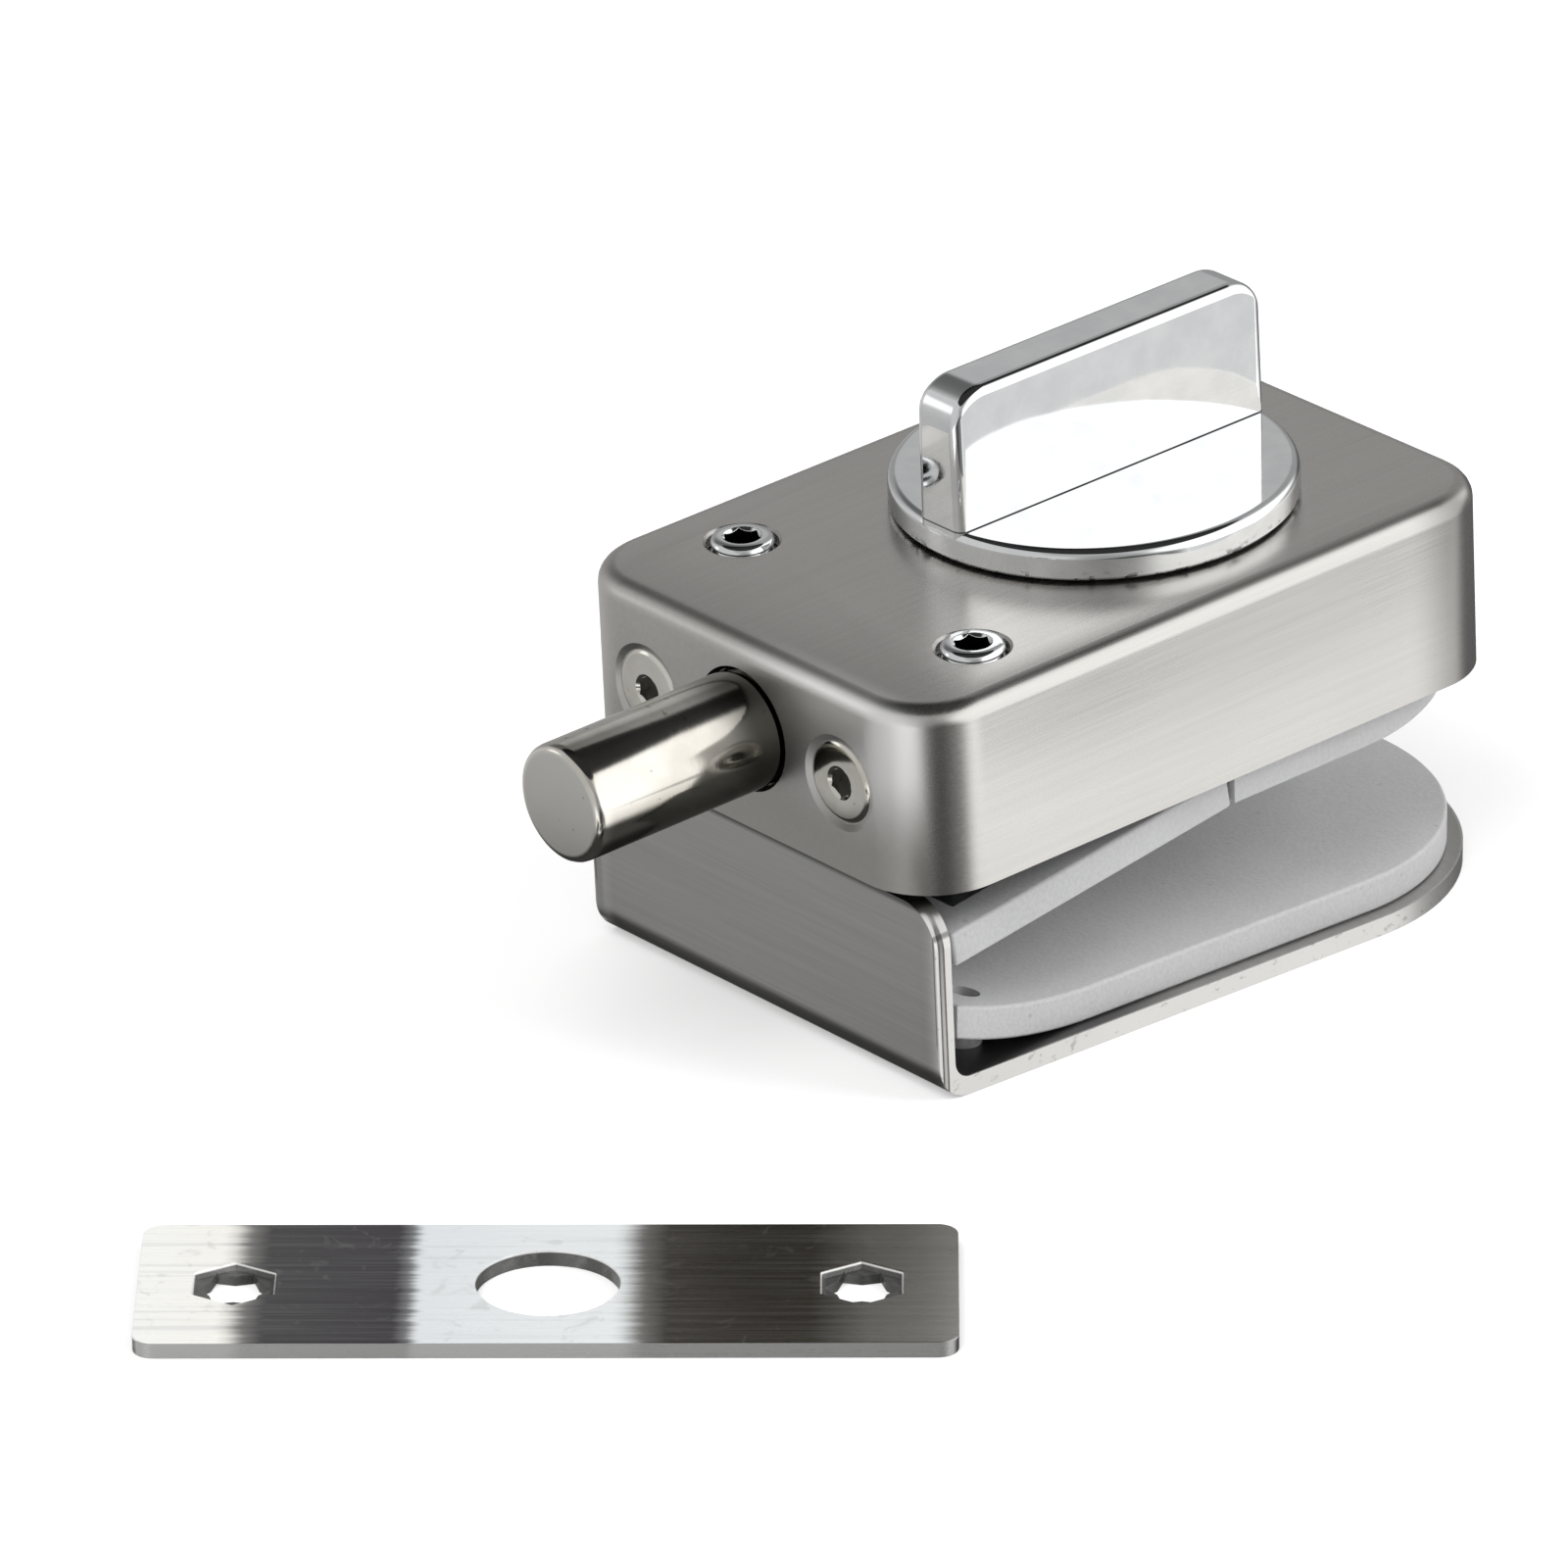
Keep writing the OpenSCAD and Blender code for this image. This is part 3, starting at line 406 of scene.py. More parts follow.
def bracket_painted_light_and_pits(surface, clouds):
    """Painted shadow under the cover's rim and painted shade under the pad's curl, a painted highlight on
    the sheared edge, a dark line inside it up the plate, and pits.
    """
    on_leg = surface.spot((1, 1, 1), (splay, 0, 0), tuple(leg.translation))
    x, y, z = (surface.axis(name, on_leg) for name in "XYZ")
    rim = at(0, 0, plate_top).z
    # Painted shadow in a band under the cover's rim.
    rim_painted_shadow = surface.axis("Z").between(rim - 0.75 * mm, rim - 0.2 * mm)
    yield rim_painted_shadow * (0.6 + clouds * 0.5), (0.10, 0.10, 0.095)
    # Painted shade on the leg's top face under the lower pad's curled end.
    under_curl = y.between(34 * mm, 20 * mm) * y.between(3.2 * mm, 4.2 * mm)
    curl_painted_shade = z.between(1.55 * mm, 1.75 * mm) * z.between(2.3 * mm, 1.9 * mm)
    yield curl_painted_shade * under_curl * 0.85, (0.12, 0.12, 0.12)
    past = (y - leg_middle * mm).at_least(0)
    out = (x * x + past * past).root()
    # Painted highlight: the sheared edge is painted lighter than the brushed faces.
    sheared = out.between((half - 0.28) * mm, (half - 0.12) * mm)
    yield sheared, (0.68, 0.67, 0.65)
    # A dark line just inside the edge, on the front plate only.
    inner_dark_line = out.between((half - 0.40) * mm, (half - 0.30) * mm)
    inner_dark_line = inner_dark_line * out.between((half - 0.12) * mm, (half - 0.22) * mm)
    yield inner_dark_line * z.between(5 * mm, 6 * mm) * 0.75, (0.16, 0.16, 0.15)
    pitted = surface.noise(surface.spot((1300, 900, 1300))).between(0.60, 0.72)
    yield sheared * pitted * 0.6, (0.34, 0.33, 0.31)


def bracket_roll(surface):
    """How far the front face dips to its right and left edges, as blanked sheet does."""
    near = (abs(surface.axis("X")) - (half - 2.6) * mm).at_least(0)
    front = surface.axis("Y").between(at(0, 2.4, 0).y, at(0, 1.6, 0).y)
    return near * near * front / (10 * mm)


bracket_steel = brushed("satin bracket steel", (0.47, 0.465, 0.455), (0.56, 0.555, 0.54),
                        rough=0.33, marks=bracket_painted_light_and_pits, along="x", rolled=bracket_roll)
dress(bracket, "lock_case", "bracket_steel", bracket_steel, "clamp_bracket")


# Bolt: a round steel bar, turned with a small chamfer and nickel plated. Its tail is
# milled flat inside the cover, where the slide is screwed on.
bolt_r, bolt_out, tail = 5.5, 21, -27
groove_r, groove_front, groove_back = 5.25, 0.3, -0.5


def turned(outline, steps=128):
    """Spins an outline of (radius, height) pairs, in millimetres, about Z."""
    bm = bmesh.new()
    verts = [bm.verts.new((r * mm, 0, z * mm)) for r, z in outline]
    edges = [bm.edges.new(pair) for pair in zip(verts, verts[1:])]
    bmesh.ops.spin(bm, geom=verts + edges, cent=(0, 0, 0), axis=(0, 0, 1), angle=math.tau,
                   steps=steps, use_merge=True)
    bmesh.ops.remove_doubles(bm, verts=bm.verts[:], dist=tiny)
    return bm


bm = turned([
    (0, bolt_out), (bolt_r - 0.9, bolt_out), (bolt_r - 0.5, bolt_out - 0.08),
    (bolt_r - 0.2, bolt_out - 0.3), (bolt_r - 0.05, bolt_out - 0.6), (bolt_r, bolt_out - 1),
    (bolt_r, 10), (bolt_r, groove_front), (groove_r, groove_front), (groove_r, groove_back),
    (bolt_r, groove_back), (bolt_r, -14), (bolt_r, tail), (0, tail)])
bm.transform(Matrix.Translation(at(0, 0, bolt_z)) @ Matrix.Rotation(math.radians(90), 4, "X"))
bolt = make("bolt_bar", bm)
carve(bolt, block(at(-7, 14, 10.3), at(7, 28, 17)))
soften(bolt, 0.08 * mm, steps=1)
nickel = Surface("nickel plate")
rings = nickel.noise(nickel.spot((500, 5000, 500)), detail=2)
draw = nickel.noise(nickel.spot((900, 60, 900)))
cloud = nickel.mottle(160, detail=4)
pits = nickel.mottle(900, detail=2).between(0.70, 0.74)
ahead = nickel.axis("Y")
nose = ahead.between(at(0, -20.9, 0).y, at(0, -20.99, 0).y)
plate = nickel.blend(cloud.between(0.3, 0.7), (0.66, 0.63, 0.57), (0.80, 0.775, 0.72))
plate = nickel.blend(nose, plate, (0.74, 0.73, 0.69))
plate = nickel.blend(pits * 0.5, plate, (0.25, 0.23, 0.20))
shank = ahead.between(at(0, -20.8, 0).y, at(0, -19, 0).y) * abs(nickel.axis("X")).between(7 * mm, 6 * mm)
# Painted reflections: the bolt's lower half is painted darker and its root by the cover near black.
lower = nickel.axis("Z").between(at(0, 0, bolt_z + 1.5).z, at(0, 0, bolt_z - 1).z) * shank
root = ahead.between(at(0, -8, 0).y, at(0, -2, 0).y) * shank
plate = nickel.blend(lower * 0.7, plate, (0.22, 0.205, 0.165))
plate = nickel.blend(root * 0.88, plate, (0.07, 0.066, 0.053))
nickel.shade(
    Base_Color=plate, Metallic=1.0,
    Roughness=0.11 + (draw - 0.5) * 0.10 + nose * 0.25,
    Normal=nickel.relief(draw * 0.6 + rings * 0.3 + cloud * 3, 0.006 * mm))
dress(bolt, "bolt_body", "nickel", nickel, "bolt")


# Front screws: two countersunk M4 screws with hexagon sockets, nickel plated. They
# clamp the cover and the bracket to the guide inside, and their heads sit flush.
def socket_screw(head_r, head_h, shank_r, length, flats, depth):
    """A screw along +Z whose head's face is at 0."""
    screw = make("screw", turned([
        (0, 0.0), (head_r - 0.55, 0.0), (head_r - 0.22, 0.07), (head_r, 0.24), (head_r, 0.3),
        (shank_r, head_h), (shank_r, length), (0, length)], steps=64))
    carve(screw, bar(Vector((0, 0, -mm)), Vector((0, 0, depth * mm)), flats / math.sqrt(3) * mm, steps=6))
    mouth, throat = Vector((0, 0, -0.06 * mm)), Vector((0, 0, 0.24 * mm))
    carve(screw, bar(mouth, throat, (flats / 2 + 0.42) * mm, (flats / 2 + 0.05) * mm))
    return taken(screw)


def add(bm, more):
    """Puts a second shape into the first."""
    held = bpy.data.meshes.new("held")
    more.to_mesh(held)
    more.free()
    bm.from_mesh(held)
    bpy.data.meshes.remove(held)


bm = bmesh.new()
for x in (-front_screw_x, front_screw_x):
    one = socket_screw(head_r=3.80, head_h=1.9, shank_r=1.95, length=8, flats=2.5, depth=1.8)
    one.transform(Matrix.Translation(at(x, 0.03, front_screw_z))
                  @ Matrix.Rotation(math.radians(-90), 4, "X"))
    add(bm, one)
front_screws = make("front_socket_screws", bm)
soften(front_screws, 0.06 * mm)
dress(front_screws, "lock_case", "nickel", nickel, "front_screws")


# Clamp screws: two M6 set screws with hexagon sockets, bright chromed. They press the
# plate over the front pad down on the glass, and stand half a millimetre proud.
thread_r, root_r, socket = 2.95, 2.6, 3
chrome = Surface("bright chrome")
waves = chrome.mottle(110, detail=2)
haze = chrome.mottle(420, detail=4)
# Painted shade: the socket is painted near black below the cover's top.
deep = chrome.axis("Z").between(cover_high.z + 0.25 * mm, cover_high.z - 0.5 * mm)
sideways = abs(chrome.axis("X")) - clamp_x * mm
ahead = chrome.axis("Y") - at(0, clamp_y, 0).y
deep = deep * (sideways * sideways + ahead * ahead).between((2.2 * mm) ** 2, (2.0 * mm) ** 2)
plate = chrome.blend(haze.between(0.3, 0.75), (0.80, 0.81, 0.82), (0.90, 0.905, 0.91))
chrome.shade(
    Base_Color=chrome.blend(deep, plate, (0.06, 0.06, 0.06)), Metallic=1.0,
    Roughness=0.045 + haze * 0.03 + deep * 0.15, Normal=chrome.relief(waves, 0.02 * mm))
for name, node, x, body in (("set_screw_left", "clamp_screw_left", -clamp_x, "clamp_left"),
                            ("set_screw_right", "clamp_screw_right", clamp_x, "clamp_right")):
    low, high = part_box(node)
    long = (high.z - low.z) / mm
    turns = [(thread_r if i % 2 else root_r, long - 0.9 - i * 0.5) for i in range(int((long - 4) * 2))]
    cone = [(0, 0), (1.0, 0.3), (1.5, 1.3), (root_r, 2.6)]
    crown = [(thread_r, long - 0.65), (2.86, long - 0.35), (2.68, long - 0.12), (2.4, long), (0, long)]
    screw = make(name, turned(cone + turns[::-1] + crown, steps=64))
    screw.data.transform(Matrix.Translation((x * mm, (low.y + high.y) / 2, low.z)))
    top = Vector((x * mm, at(0, clamp_y, 0).y, high.z))
    up = Vector((0, 0, mm))
    carve(screw, bar(top - up * 3, top + up, socket / math.sqrt(3) * mm, steps=6))
    carve(screw, bar(top - up * 0.3, top + up * 0.06, socket / 2 * mm, 1.86 * mm))
    soften(screw, 0.05 * mm)
    dress(screw, body, "chrome_steel", chrome, node)


# Knob: a zinc casting, polished and chromed. The thumb tab runs across the whole disc,
# so its ends lie in the disc's round, and its edges are softly rounded by the polishing.
disc_r, disc_h = 18.5, 3.0
tab_half, tab_end, tab_h = 2.9, 18.35, 16.3
tab_edge, tab_taper = 0.95, 0.93
tip_r = 3.7
knob_axis = at(0, knob_y, 18.2)
disc_top = knob_axis.z + disc_h * mm
tab_middle = knob_axis.z + 10 * mm


def slice_through(bm, place, way, **more):
    """Cuts a mesh along a plane, whose halves stay joined."""
    bmesh.ops.bisect_plane(
        bm, geom=bm.verts[:] + bm.edges[:] + bm.faces[:], dist=1e-7, plane_co=place, plane_no=way, **more)


bm = turned([
    (0, 0), (disc_r - 0.6, 0), (disc_r - 0.2, 0.12), (disc_r, 0.4), (disc_r, 2.1), (disc_r - 0.07, 2.45),
    (disc_r - 0.26, 2.74), (disc_r - 0.55, 2.93), (disc_r - 0.9, disc_h), (0, disc_h)], steps=192)
bm.transform(Matrix.Translation(knob_axis))
knob = make("thumb_turn", bm)
bm = block(knob_axis + Vector((-tab_half, -tab_end, 0.5)) * mm,
           knob_axis + Vector((tab_half, tab_end, tab_h)) * mm)
for v in bm.verts:
    if v.co.z > tab_middle:
        v.co.x *= tab_taper
seen_edges = [e for e in bm.edges if max(v.co.z for v in e.verts) > knob_axis.z + mm]
round_off(bm, seen_edges, tab_edge * mm, 5)
for i in range(12):
    for way in (-1, 1):
        slice_through(bm, knob_axis + Vector((0, way * (14.6 + i * 0.24) * mm, 0)), (0, 1, 0))
for v in bm.verts:
    past = abs(v.co.y - knob_axis.y) / mm - (tab_end - tip_r + 0.1)
    if past > 0 and v.co.z > tab_middle:
        v.co.z -= (tip_r - math.sqrt(tip_r ** 2 - past ** 2)) * mm
carve(knob, bm, "UNION")
soften(knob, 0)
cast_chrome = Surface("polished cast chrome")
dents = cast_chrome.mottle(70, detail=2)
haze = cast_chrome.mottle(300, detail=4)
above = cast_chrome.axis("Z")
# Painted shade: a thin dark line where the tab's sides meet the disc.
crease = abs(cast_chrome.axis("X")).between(3.06 * mm, 2.98 * mm)
crease = crease * above.between(disc_top + 0.14 * mm, disc_top + 0.06 * mm)
crease = crease * above.between(disc_top - 0.1 * mm, disc_top)
foot = above.between(knob_axis.z + 1.2 * mm, knob_axis.z + 0.1 * mm)
specks = cast_chrome.noise(cast_chrome.spot((700, 700, 1300))).between(0.55, 0.60) * foot
plate = cast_chrome.blend(haze.between(0.3, 0.75), (0.82, 0.83, 0.84), (0.91, 0.915, 0.92))
cast_chrome.shade(
    Base_Color=cast_chrome.blend(specks * 0.9 + crease, plate, (0.12, 0.12, 0.12)),
    Metallic=1.0, Roughness=0.04 + haze * 0.03 + specks * 0.3,
    Normal=cast_chrome.relief(dents + specks * 0.4, 0.03 * mm))
dress(knob, "knob_body", "chrome_zinc", cast_chrome, "knob")


# Pads: light grey closed-cell sheet, die-cut and glued. The lower pad lies on the leg and
# its front end curls up; the upper one is cut across, and its front half droops.
pad_t, pad_half, pad_front = 3.3, 22, 4.6
pad_edge = 0.35 * mm
curl_end, curl_rise = 16 + pad_front, 3
curl_r = (16 ** 2 + curl_rise ** 2) / (2 * curl_rise)
glued_z = -0.65
cut_y, droop = 37.9, math.radians(7)
peg_x, peg_y = 17.8, 9
foam = Surface("light grey pad")
cells = foam.mottle(2600)
lumps = foam.mottle(260)
stain = foam.mottle(35)
dots = foam.mottle(950, detail=1).between(0.75, 0.79)
skin = foam.blend(stain.between(0.3, 0.7), (0.50, 0.50, 0.505), (0.57, 0.57, 0.575))
skin = foam.blend(cells.between(0.35, 0.65) * 0.3, skin, (0.66, 0.66, 0.665))
skin = foam.blend(dots * 0.4, skin, (0.30, 0.30, 0.30))
foam.shade(Base_Color=skin, Roughness=0.82 + cells * 0.12, Specular_IOR_Level=0.3,
           Normal=foam.relief(cells + lumps * 1.5, 0.05 * mm))


def pad_plate(front_y, low_z, high_z):
    """A pad with a half-round rear end and a square front end, edges softened."""
    bm = stadium(pad_half, leg_middle, low_z, high_z)
    slice_through(bm, (0, front_y * mm, 0), (0, -1, 0), clear_outer=True)
    bmesh.ops.holes_fill(bm, edges=[e for e in bm.edges if e.is_boundary], sides=0)
    rim = [e for e in bm.edges if len(e.link_faces) == 2 and e.calc_face_angle(0) > math.radians(40)
           and abs(e.verts[0].co.z - e.verts[1].co.z) < tiny]
    round_off(bm, rim, pad_edge, 3)
    return bm


bm = pad_plate(pad_front, sheet, sheet + pad_t)
for i in range(1, 22):
    slice_through(bm, (0, (pad_front + i * 0.8) * mm, 0), (0, 1, 0))
for v in bm.verts:
    ahead = curl_end - v.co.y / mm
    if ahead > 0:
        v.co.z += (curl_r - math.sqrt(curl_r ** 2 - ahead ** 2)) * mm
bm.transform(leg)
lower_pad = make("lower_pad_sheet", bm)
for x in (-peg_x, peg_x):
    peg_foot = Vector((x, peg_y, 0)) * mm
    peg_tip = Vector((x, peg_y, 12)) * mm
    carve(lower_pad, bar(leg @ peg_foot, leg @ peg_tip, 1.5 * mm, steps=32))
soften(lower_pad, 0)
dress(lower_pad, "lock_case", "pad_foam", foam, "lower_pad")

bm = pad_plate(cut_y + 0.2, glued_z - pad_t + 0.05, glued_z)
bm.transform(Matrix.Translation(at(0, 0, 0)))
rear_pad = make("upper_pad_rear_sheet", bm)
soften(rear_pad, 0)
dress(rear_pad, "lock_case", "pad_foam", foam, "upper_pad_rear")

tilted = Matrix.Translation(at(0, cut_y, glued_z + 0.05 - pad_t)) @ Matrix.Rotation(droop, 4, "X")
bm = block(Vector((-pad_half, pad_front - cut_y, 0)) * mm, Vector((pad_half, -0.2, pad_t)) * mm)
round_off(bm, bm.edges[:], pad_edge, 3)
bm.transform(tilted)
front_pad = make("upper_pad_front_sheet", bm)
bm = block(Vector((-18.5, 7.9 - cut_y, 2.05)) * mm, Vector((18.5, -0.8, 5)) * mm)
bm.transform(tilted)
carve(front_pad, bm)
soften(front_pad, 0)
dress(front_pad, "pressure_body", "pad_foam", foam, "upper_pad_front")


# Pegs: two grey plastic pegs, riveted in the leg, whose tips hold the lower pad's front
# end. Each has a collar under the pad.
peg_plastic = Surface("grey peg plastic")
mould = peg_plastic.mottle(700)
peg_plastic.shade(
    Base_Color=peg_plastic.blend(mould.between(0.3, 0.7), (0.42, 0.42, 0.43), (0.55, 0.55, 0.56)),
    Roughness=0.4 + mould * 0.2, Normal=peg_plastic.relief(mould, 0.02 * mm))
collar_r, peg_r = 1.68, 1.2
bm = bmesh.new()
for x in (-peg_x, peg_x):
    one = turned([(0, 0.02), (collar_r, 0.02), (collar_r, 2.8), (1.55, 2.9), (peg_r, 2.9), (peg_r, 5.3),
                  (0.9, 5.6), (0, 5.6)], steps=40)
    one.transform(leg @ Matrix.Translation((x * mm, peg_y * mm, 0)))
    add(bm, one)
pegs = make("pad_pins", bm)
soften(pegs, 0.08 * mm)
dress(pegs, "lock_case", "peg_plastic", peg_plastic, "pad_pegs")


# Strike plate: 1.5 mm stainless sheet, brushed along its length, with the bolt's hole and
# two screw holes pressed down in hexagons and pierced as six-pointed stars.
strike_half, strike_side, strike_t = 35, 11.2, 1.5
strike_hole_r, strike_corner_r = 6.2, 1.8
star_x, star_r, star_dip = 26.75, 3.25, 0.74
hexagon_z, hexagon_foot_r = 0.95, 3.6
strike_place = (leg @ Matrix.Translation((29.7 * mm, -48.6 * mm, 0))
                @ Matrix.Rotation(math.radians(48.9), 4, "Z"))
bm = block(Vector((-strike_half, -strike_side, 0)) * mm, Vector((strike_half, strike_side, strike_t)) * mm)
round_off(bm, upright(bm), strike_corner_r * mm, 8)
strike = make("strike_sheet", bm)
up = Vector((0, 0, mm))
carve(strike, bar(-up, up * 3, strike_hole_r * mm))
for x in (-star_x, star_x):
    centre = Vector((x, 0, 0)) * mm
    foot, mouth = centre + up * hexagon_z, centre + up * (hexagon_z + 0.75)
    carve(strike, bar(foot, mouth, hexagon_foot_r * mm, (hexagon_foot_r + 0.75) * mm, steps=6))
    bm = bar(centre - up, centre + up * 3, star_r * mm, steps=12)
    for v in bm.verts:
        out = v.co - centre
        if round(math.degrees(math.atan2(out.y, out.x)) / 30) % 2:
            v.co.x, v.co.y = centre.x + out.x * star_dip, centre.y + out.y * star_dip
    carve(strike, bm)
strike.data.transform(strike_place)
soften(strike, 0.14 * mm)
strike_steel = Surface("brushed strike steel")


def on_strike(scale):
    """A spot that lies along the plate."""
    return strike_steel.spot(scale, tuple(strike_place.to_euler()), tuple(strike_place.translation))


long, across, depth = (strike_steel.axis(name, on_strike((1, 1, 1))) for name in "XYZ")
grain = strike_steel.noise(on_strike((60, 6000, 6000)), detail=2)
streaks = strike_steel.noise(on_strike((30, 1600, 1600)))
scuffs = strike_steel.noise(on_strike((330, 330, 330)), detail=5, warp=1.5)
# Painted reflections: light and dark bands along the plate, and the light ones are less metallic.
place = (long + (streaks - 0.5) * 2.2 * mm) / (2 * strike_half * mm) + 0.5
painted_reflection_bands = strike_steel.node("ShaderNodeValToRGB", {"stops": [
    (0.00, (0.97, 0.97, 0.94)), (0.10, (0.97, 0.96, 0.90)),
    (0.155, (0.15, 0.145, 0.15)), (0.315, (0.11, 0.10, 0.11)),
    (0.345, (0.78, 0.81, 0.83)), (0.58, (0.86, 0.89, 0.90)),
    (0.645, (0.13, 0.115, 0.105)), (0.82, (0.09, 0.075, 0.055)),
    (0.89, (0.36, 0.35, 0.33)), (1.0, (0.46, 0.45, 0.43))]}, {"Fac": place})
bright_painted_bands = strike_steel.node("ShaderNodeSeparateColor", inputs={0: painted_reflection_bands}, out=1).between(0.40, 0.80)
fibres = (grain * 0.6 + streaks * 0.4).between(0.44, 0.62)
colour = strike_steel.blend(fibres * 0.18, painted_reflection_bands, (0.72, 0.73, 0.74))
colour = strike_steel.blend(streaks.between(0.52, 0.66) * bright_painted_bands * 0.30, colour, (0.55, 0.57, 0.58))
colour = strike_steel.blend(scuffs.between(0.58, 0.70) * 0.30, colour, (0.45, 0.44, 0.43))
# Painted highlight on the upper rims of the holes and pressed hexagons, painted shade deeper in them and
# on the plate's long sides.
below = depth.between(1.46 * mm, 1.38 * mm)
inner = abs(across).between(10.8 * mm, 10.2 * mm)
walls = depth.between(1.36 * mm, 1.24 * mm) * inner
colour = strike_steel.blend(below * inner, colour, (0.86, 0.85, 0.83))
colour = strike_steel.blend(below * (1 - inner), colour, (0.40, 0.40, 0.39))
colour = strike_steel.blend(walls * (0.75 + scuffs * 0.5), colour, (0.10, 0.10, 0.095))
strike_steel.shade(
    Base_Color=colour, Metallic=1 - 0.8 * bright_painted_bands - 0.45 * below * (1 - bright_painted_bands),
    Roughness=0.27 + (grain - 0.5) * 0.2 + scuffs * 0.06,
    Normal=strike_steel.relief(grain + streaks * 0.5 + walls * scuffs * 2, 0.005 * mm))
dress(strike, "strike", "strike_steel", strike_steel, "strike_plate")


# Inner metal parts: the base plate, bushes, posts, slide and crank are plain zinc-plated
# steel, pressed or turned. They are seen from below and when the lock is taken apart.
def plated(name, dark, light, rough, worn=0.5):
    """Plain machined metal: soft clouds, fine tooth and a few rubbed streaks."""
    surface = Surface(name)
    flow = surface.mottle(90, detail=4)
    fine = surface.mottle(1500)
    rubbed = surface.noise(surface.spot((3000, 120, 3000)), detail=2).between(0.62, 0.72)
    colour = surface.blend(flow.between(0.3, 0.7), dark, light)
    colour = surface.blend(rubbed * worn, colour, [min(1, v * 1.4) for v in light])
    return surface.shade(
        Base_Color=colour, Metallic=1.0, Roughness=rough + (flow - 0.5) * 0.2 + (fine - 0.5) * 0.1,
        Normal=surface.relief(fine + rubbed * 0.5, 0.006 * mm))


def coat(surface, *nodes):
    """Gives a material to pieces that keep their CAD meshes."""
    for node in nodes:
        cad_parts[node].data.materials.clear()
        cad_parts[node].data.materials.append(surface.material)


coat(plated("zinc plated steel", (0.42, 0.43, 0.44), (0.58, 0.59, 0.60), 0.38),
     "base_plate", "clamp_bushes", "rear_posts", "bolt_slide", "knob_spindle", "crank", "pressure_plate")


# Hardened pieces: the crank pin is a ground dowel and the washer is waved spring steel.
# Both keep the blue-grey of their heat treatment.
coat(plated("blue-grey spring steel", (0.26, 0.28, 0.32), (0.38, 0.40, 0.45), 0.3),
     "wave_washer", "crank_pin")


# Brass parts: the bored guide block of the bolt and the spindle's flanged bush, sawn and
# turned from bar and left unplated.
coat(plated("machined brass", (0.62, 0.46, 0.20), (0.78, 0.61, 0.31), 0.30),
     "bolt_guide", "spindle_bush")


# Black screws: small countersunk screws with black oxide, worn to steel on their rims.
# They hold the guide, the rails, the slide, the crank and the base plate.
coat(plated("black oxide", (0.030, 0.030, 0.034), (0.065, 0.065, 0.070), 0.42, worn=0.15),
     "guide_screws", "rail_screws", "rear_screws", "slide_screws", "crank_screw")


# Rails: two blocks of natural acetal, milled with a step that carries the slide and a
# wall that guides it.
acetal = Surface("natural acetal")
mill = acetal.noise(acetal.spot((120, 2600, 120)), detail=2)
cast = acetal.mottle(80)
acetal.shade(Base_Color=acetal.blend(cast.between(0.3, 0.7), (0.76, 0.76, 0.73), (0.84, 0.84, 0.82)),
             Roughness=0.42 + mill * 0.12, Normal=acetal.relief(mill, 0.01 * mm))
coat(acetal, "slide_rails")


# Studio floor: a large plain white sheet in the plane that the leg's flat underside and
# the strike plate lie on. It keeps the soft shadow and doesn't show in the metal.
bm = bmesh.new()
bmesh.ops.create_grid(bm, x_segments=1, y_segments=1, size=4.0)
bm.transform(leg @ Matrix.Translation((0, 0, -0.02 * mm)))
floor = make("studio_floor", bm)
paper = Surface("white floor")
seen = paper.node("ShaderNodeLightPath", out="Is Camera Ray")
matt = paper.node("ShaderNodeBsdfDiffuse", inputs={"Color": (0.80, 0.80, 0.80, 1)})
lift = paper.node("ShaderNodeEmission", inputs={"Color": (1, 1, 1, 1), "Strength": seen * 0.32})
both = paper.node("ShaderNodeAddShader", inputs={0: matt, 1: lift})
paper.node("ShaderNodeOutputMaterial", inputs={"Surface": both})
floor.data.materials.append(paper.material)
floor.visible_glossy = False


# Grey card: a sheet on the floor to the right of the lock, which only the metal shows. The
# knob's tab mirrors it in its upper half.
bm = bmesh.new()
bmesh.ops.create_grid(bm, x_segments=1, y_segments=1, size=0.5)
bmesh.ops.scale(bm, vec=(66 * mm, 116 * mm, 1), verts=bm.verts[:])
bm.transform(leg @ Matrix.Translation((119 * mm, 116 * mm, 0.1 * mm)))
card = make("grey_card", bm)
grey = Surface("grey card")
dim = grey.node("ShaderNodeEmission", inputs={"Color": (1, 1, 1, 1), "Strength": 0.72})
grey.node("ShaderNodeOutputMaterial", inputs={"Surface": dim})
card.data.materials.append(grey.material)
card.visible_camera = card.visible_diffuse = card.visible_shadow = False


# Studio surround: white to the eye. What the metal mirrors is a tall white screen on the
# right and behind, a grey wall on the left, a dark ceiling and a dark place by the camera.
world = bpy.data.worlds.new("studio")
bpy.context.scene.world = world
world.use_nodes = True
around = Surface("studio", world.node_tree)
towards = around.node("ShaderNodeTexCoord", out="Generated")
height = around.axis("Z", towards)


def facing(azimuth, elevation, narrow, wide):
    """1 within `narrow` degrees of a direction, falling softly to 0 at `wide`."""
    flat = math.cos(math.radians(elevation))
    way = (flat * math.cos(math.radians(azimuth)), flat * math.sin(math.radians(azimuth)),
           math.sin(math.radians(elevation)))
    near = around.node(
        "ShaderNodeVectorMath", {"operation": "DOT_PRODUCT"}, {0: towards, 1: way}, out="Value")
    return near.between(math.cos(math.radians(wide)), math.cos(math.radians(narrow)))


# The grey wall, dimmed where the cover's top mirrors it and lifted a little for the disc.
level = 0.62 * (1 - 0.47 * facing(140, 26, 25, 60))
level = level + facing(140, 26, 4, 12) * 0.14
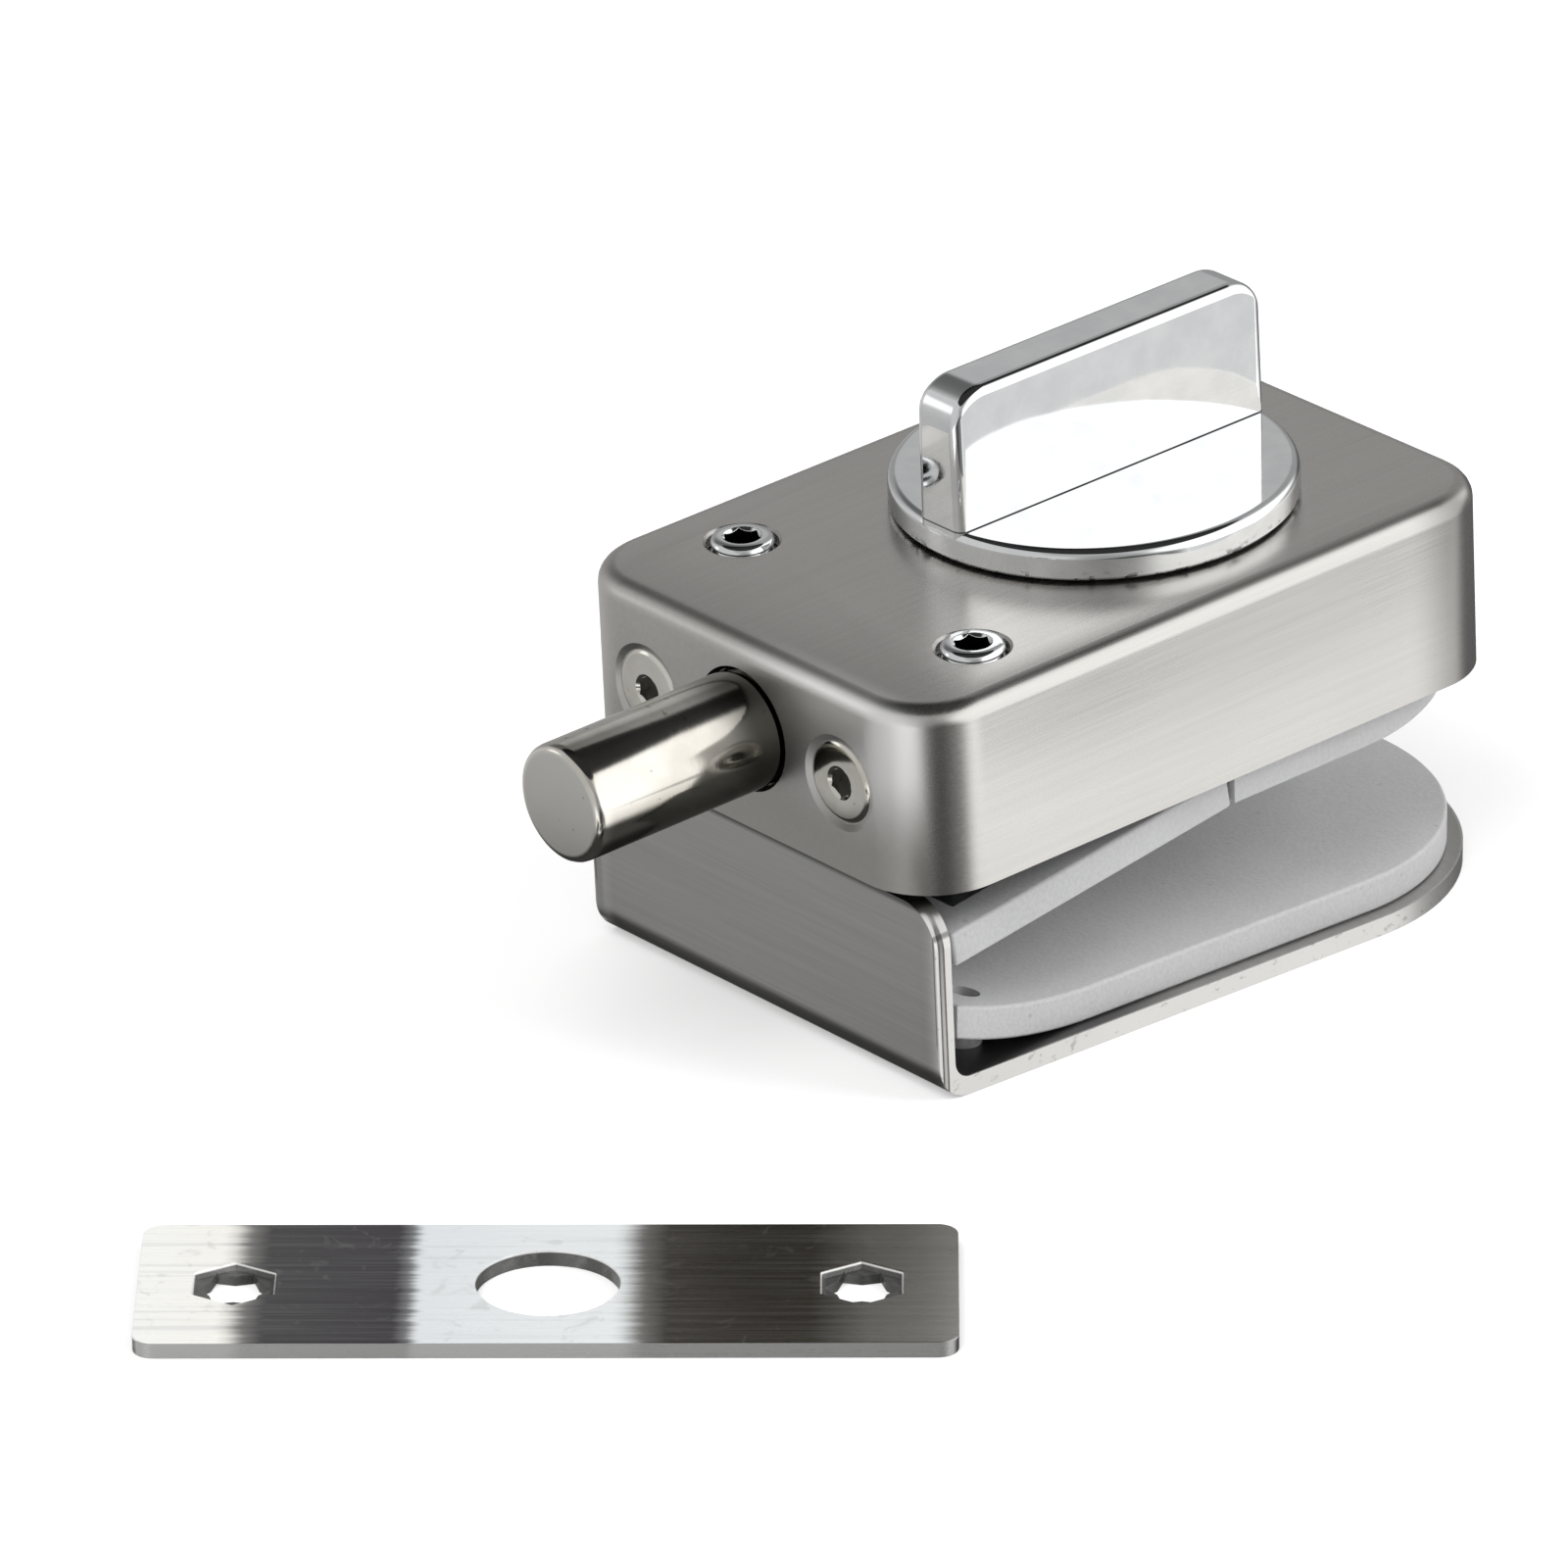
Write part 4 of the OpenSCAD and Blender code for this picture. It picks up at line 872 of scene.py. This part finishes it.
# The white screen that the right sides mirror, and the dark beside it for the rear corner.
level = level + facing(42, -5, 50, 66) * 0.78
level = level * (1 - 0.8 * facing(100, -26, 22, 42))
# The dark by the camera, for the right top rims and the front corner's dark stripe.
level = level * (1 - 0.3 * facing(-46, 40, 14, 28))
level = level * (1 - 0.45 * facing(-30, 2, 14, 30))
level = level * (1 - 0.85 * facing(-18, -26, 16, 34))
# A light for the front corner's bright stripe, and the dimmer wall that the fronts mirror.
level = level + facing(-72, -26, 8, 22) * 0.65
level = level * (1 - 0.24 * facing(-140, -26, 15, 38))
# A small lamp and a dark patch that the front's rounded top edges mirror.
level = level + facing(-141, 13, 3, 12) * 0.7
level = level * (1 - 0.6 * facing(170, 48, 14, 32))
# The dark ceiling and the dark ground.
level = level * (1 - 0.95 * height.between(0.74, 0.79))
level = level * (1 - 0.92 * height.between(-0.46, -0.64))


def glow(strength):
    return around.node("ShaderNodeBackground", inputs={"Color": (1, 1, 1, 1), "Strength": strength})


to_eye = around.node("ShaderNodeLightPath", out="Is Camera Ray")
to_metal = around.node("ShaderNodeLightPath", out="Is Glossy Ray")
sky = around.node("ShaderNodeMixShader", inputs={0: to_metal, 1: glow(0.54), 2: glow(level)})
sky = around.node("ShaderNodeMixShader", inputs={0: to_eye, 1: sky, 2: glow(1.0)})
around.node("ShaderNodeOutputWorld", inputs={"Surface": sky})


# Lamps: a large soft lamp above and to the left of the camera and a weaker one on the
# right. They light the pads and the floor, and the metal doesn't mirror them.
for name, place, size, watts in (("key", (0.25, -0.75, 1.1), 0.9, 10.5),
                                 ("side", (0.95, 0.85, 0.8), 0.8, 10.0)):
    lamp = bpy.data.lights.new(name, "AREA")
    lamp.energy, lamp.size = watts, size
    holder = bpy.data.objects.new(name, lamp)
    aim = (Vector(place) - at(0, 20, 0)).to_track_quat("Z", "Y")
    holder.matrix_world = Matrix.Translation(place) @ aim.to_matrix().to_4x4()
    holder.visible_glossy = False
    bpy.context.scene.collection.objects.link(holder)


# Camera: a long lens a little over a metre away, as in the photo, which looks along the
# bolt's side from the right and above and is tipped by under three degrees.
azimuth, elevation, tip = math.radians(50.49), math.radians(26.40), math.radians(2.71)
away, aside, lowered = 1.23, 0.02321, 0.00751
flat = math.cos(elevation)
back = Vector((math.sin(azimuth) * flat, -math.cos(azimuth) * flat, math.sin(elevation)))
level_right = Vector((math.cos(azimuth), math.sin(azimuth), 0))
level_up = back.cross(level_right)
right = level_right * math.cos(tip) - level_up * math.sin(tip)
up = level_right * math.sin(tip) + level_up * math.cos(tip)
lens = bpy.data.cameras.new("photo")
lens.lens, lens.sensor_width, lens.clip_start, lens.clip_end = 315, 36, 0.05, 20
camera = bpy.data.objects.new("photo", lens)
stand = at(0, 35, 0) + back * away - right * aside - up * lowered
camera.matrix_world = Matrix.Translation(stand) @ Matrix((right, up, back)).transposed().to_4x4()
bpy.context.scene.collection.objects.link(camera)
bpy.context.scene.camera = camera
bpy.context.scene.view_settings.view_transform = "Standard"
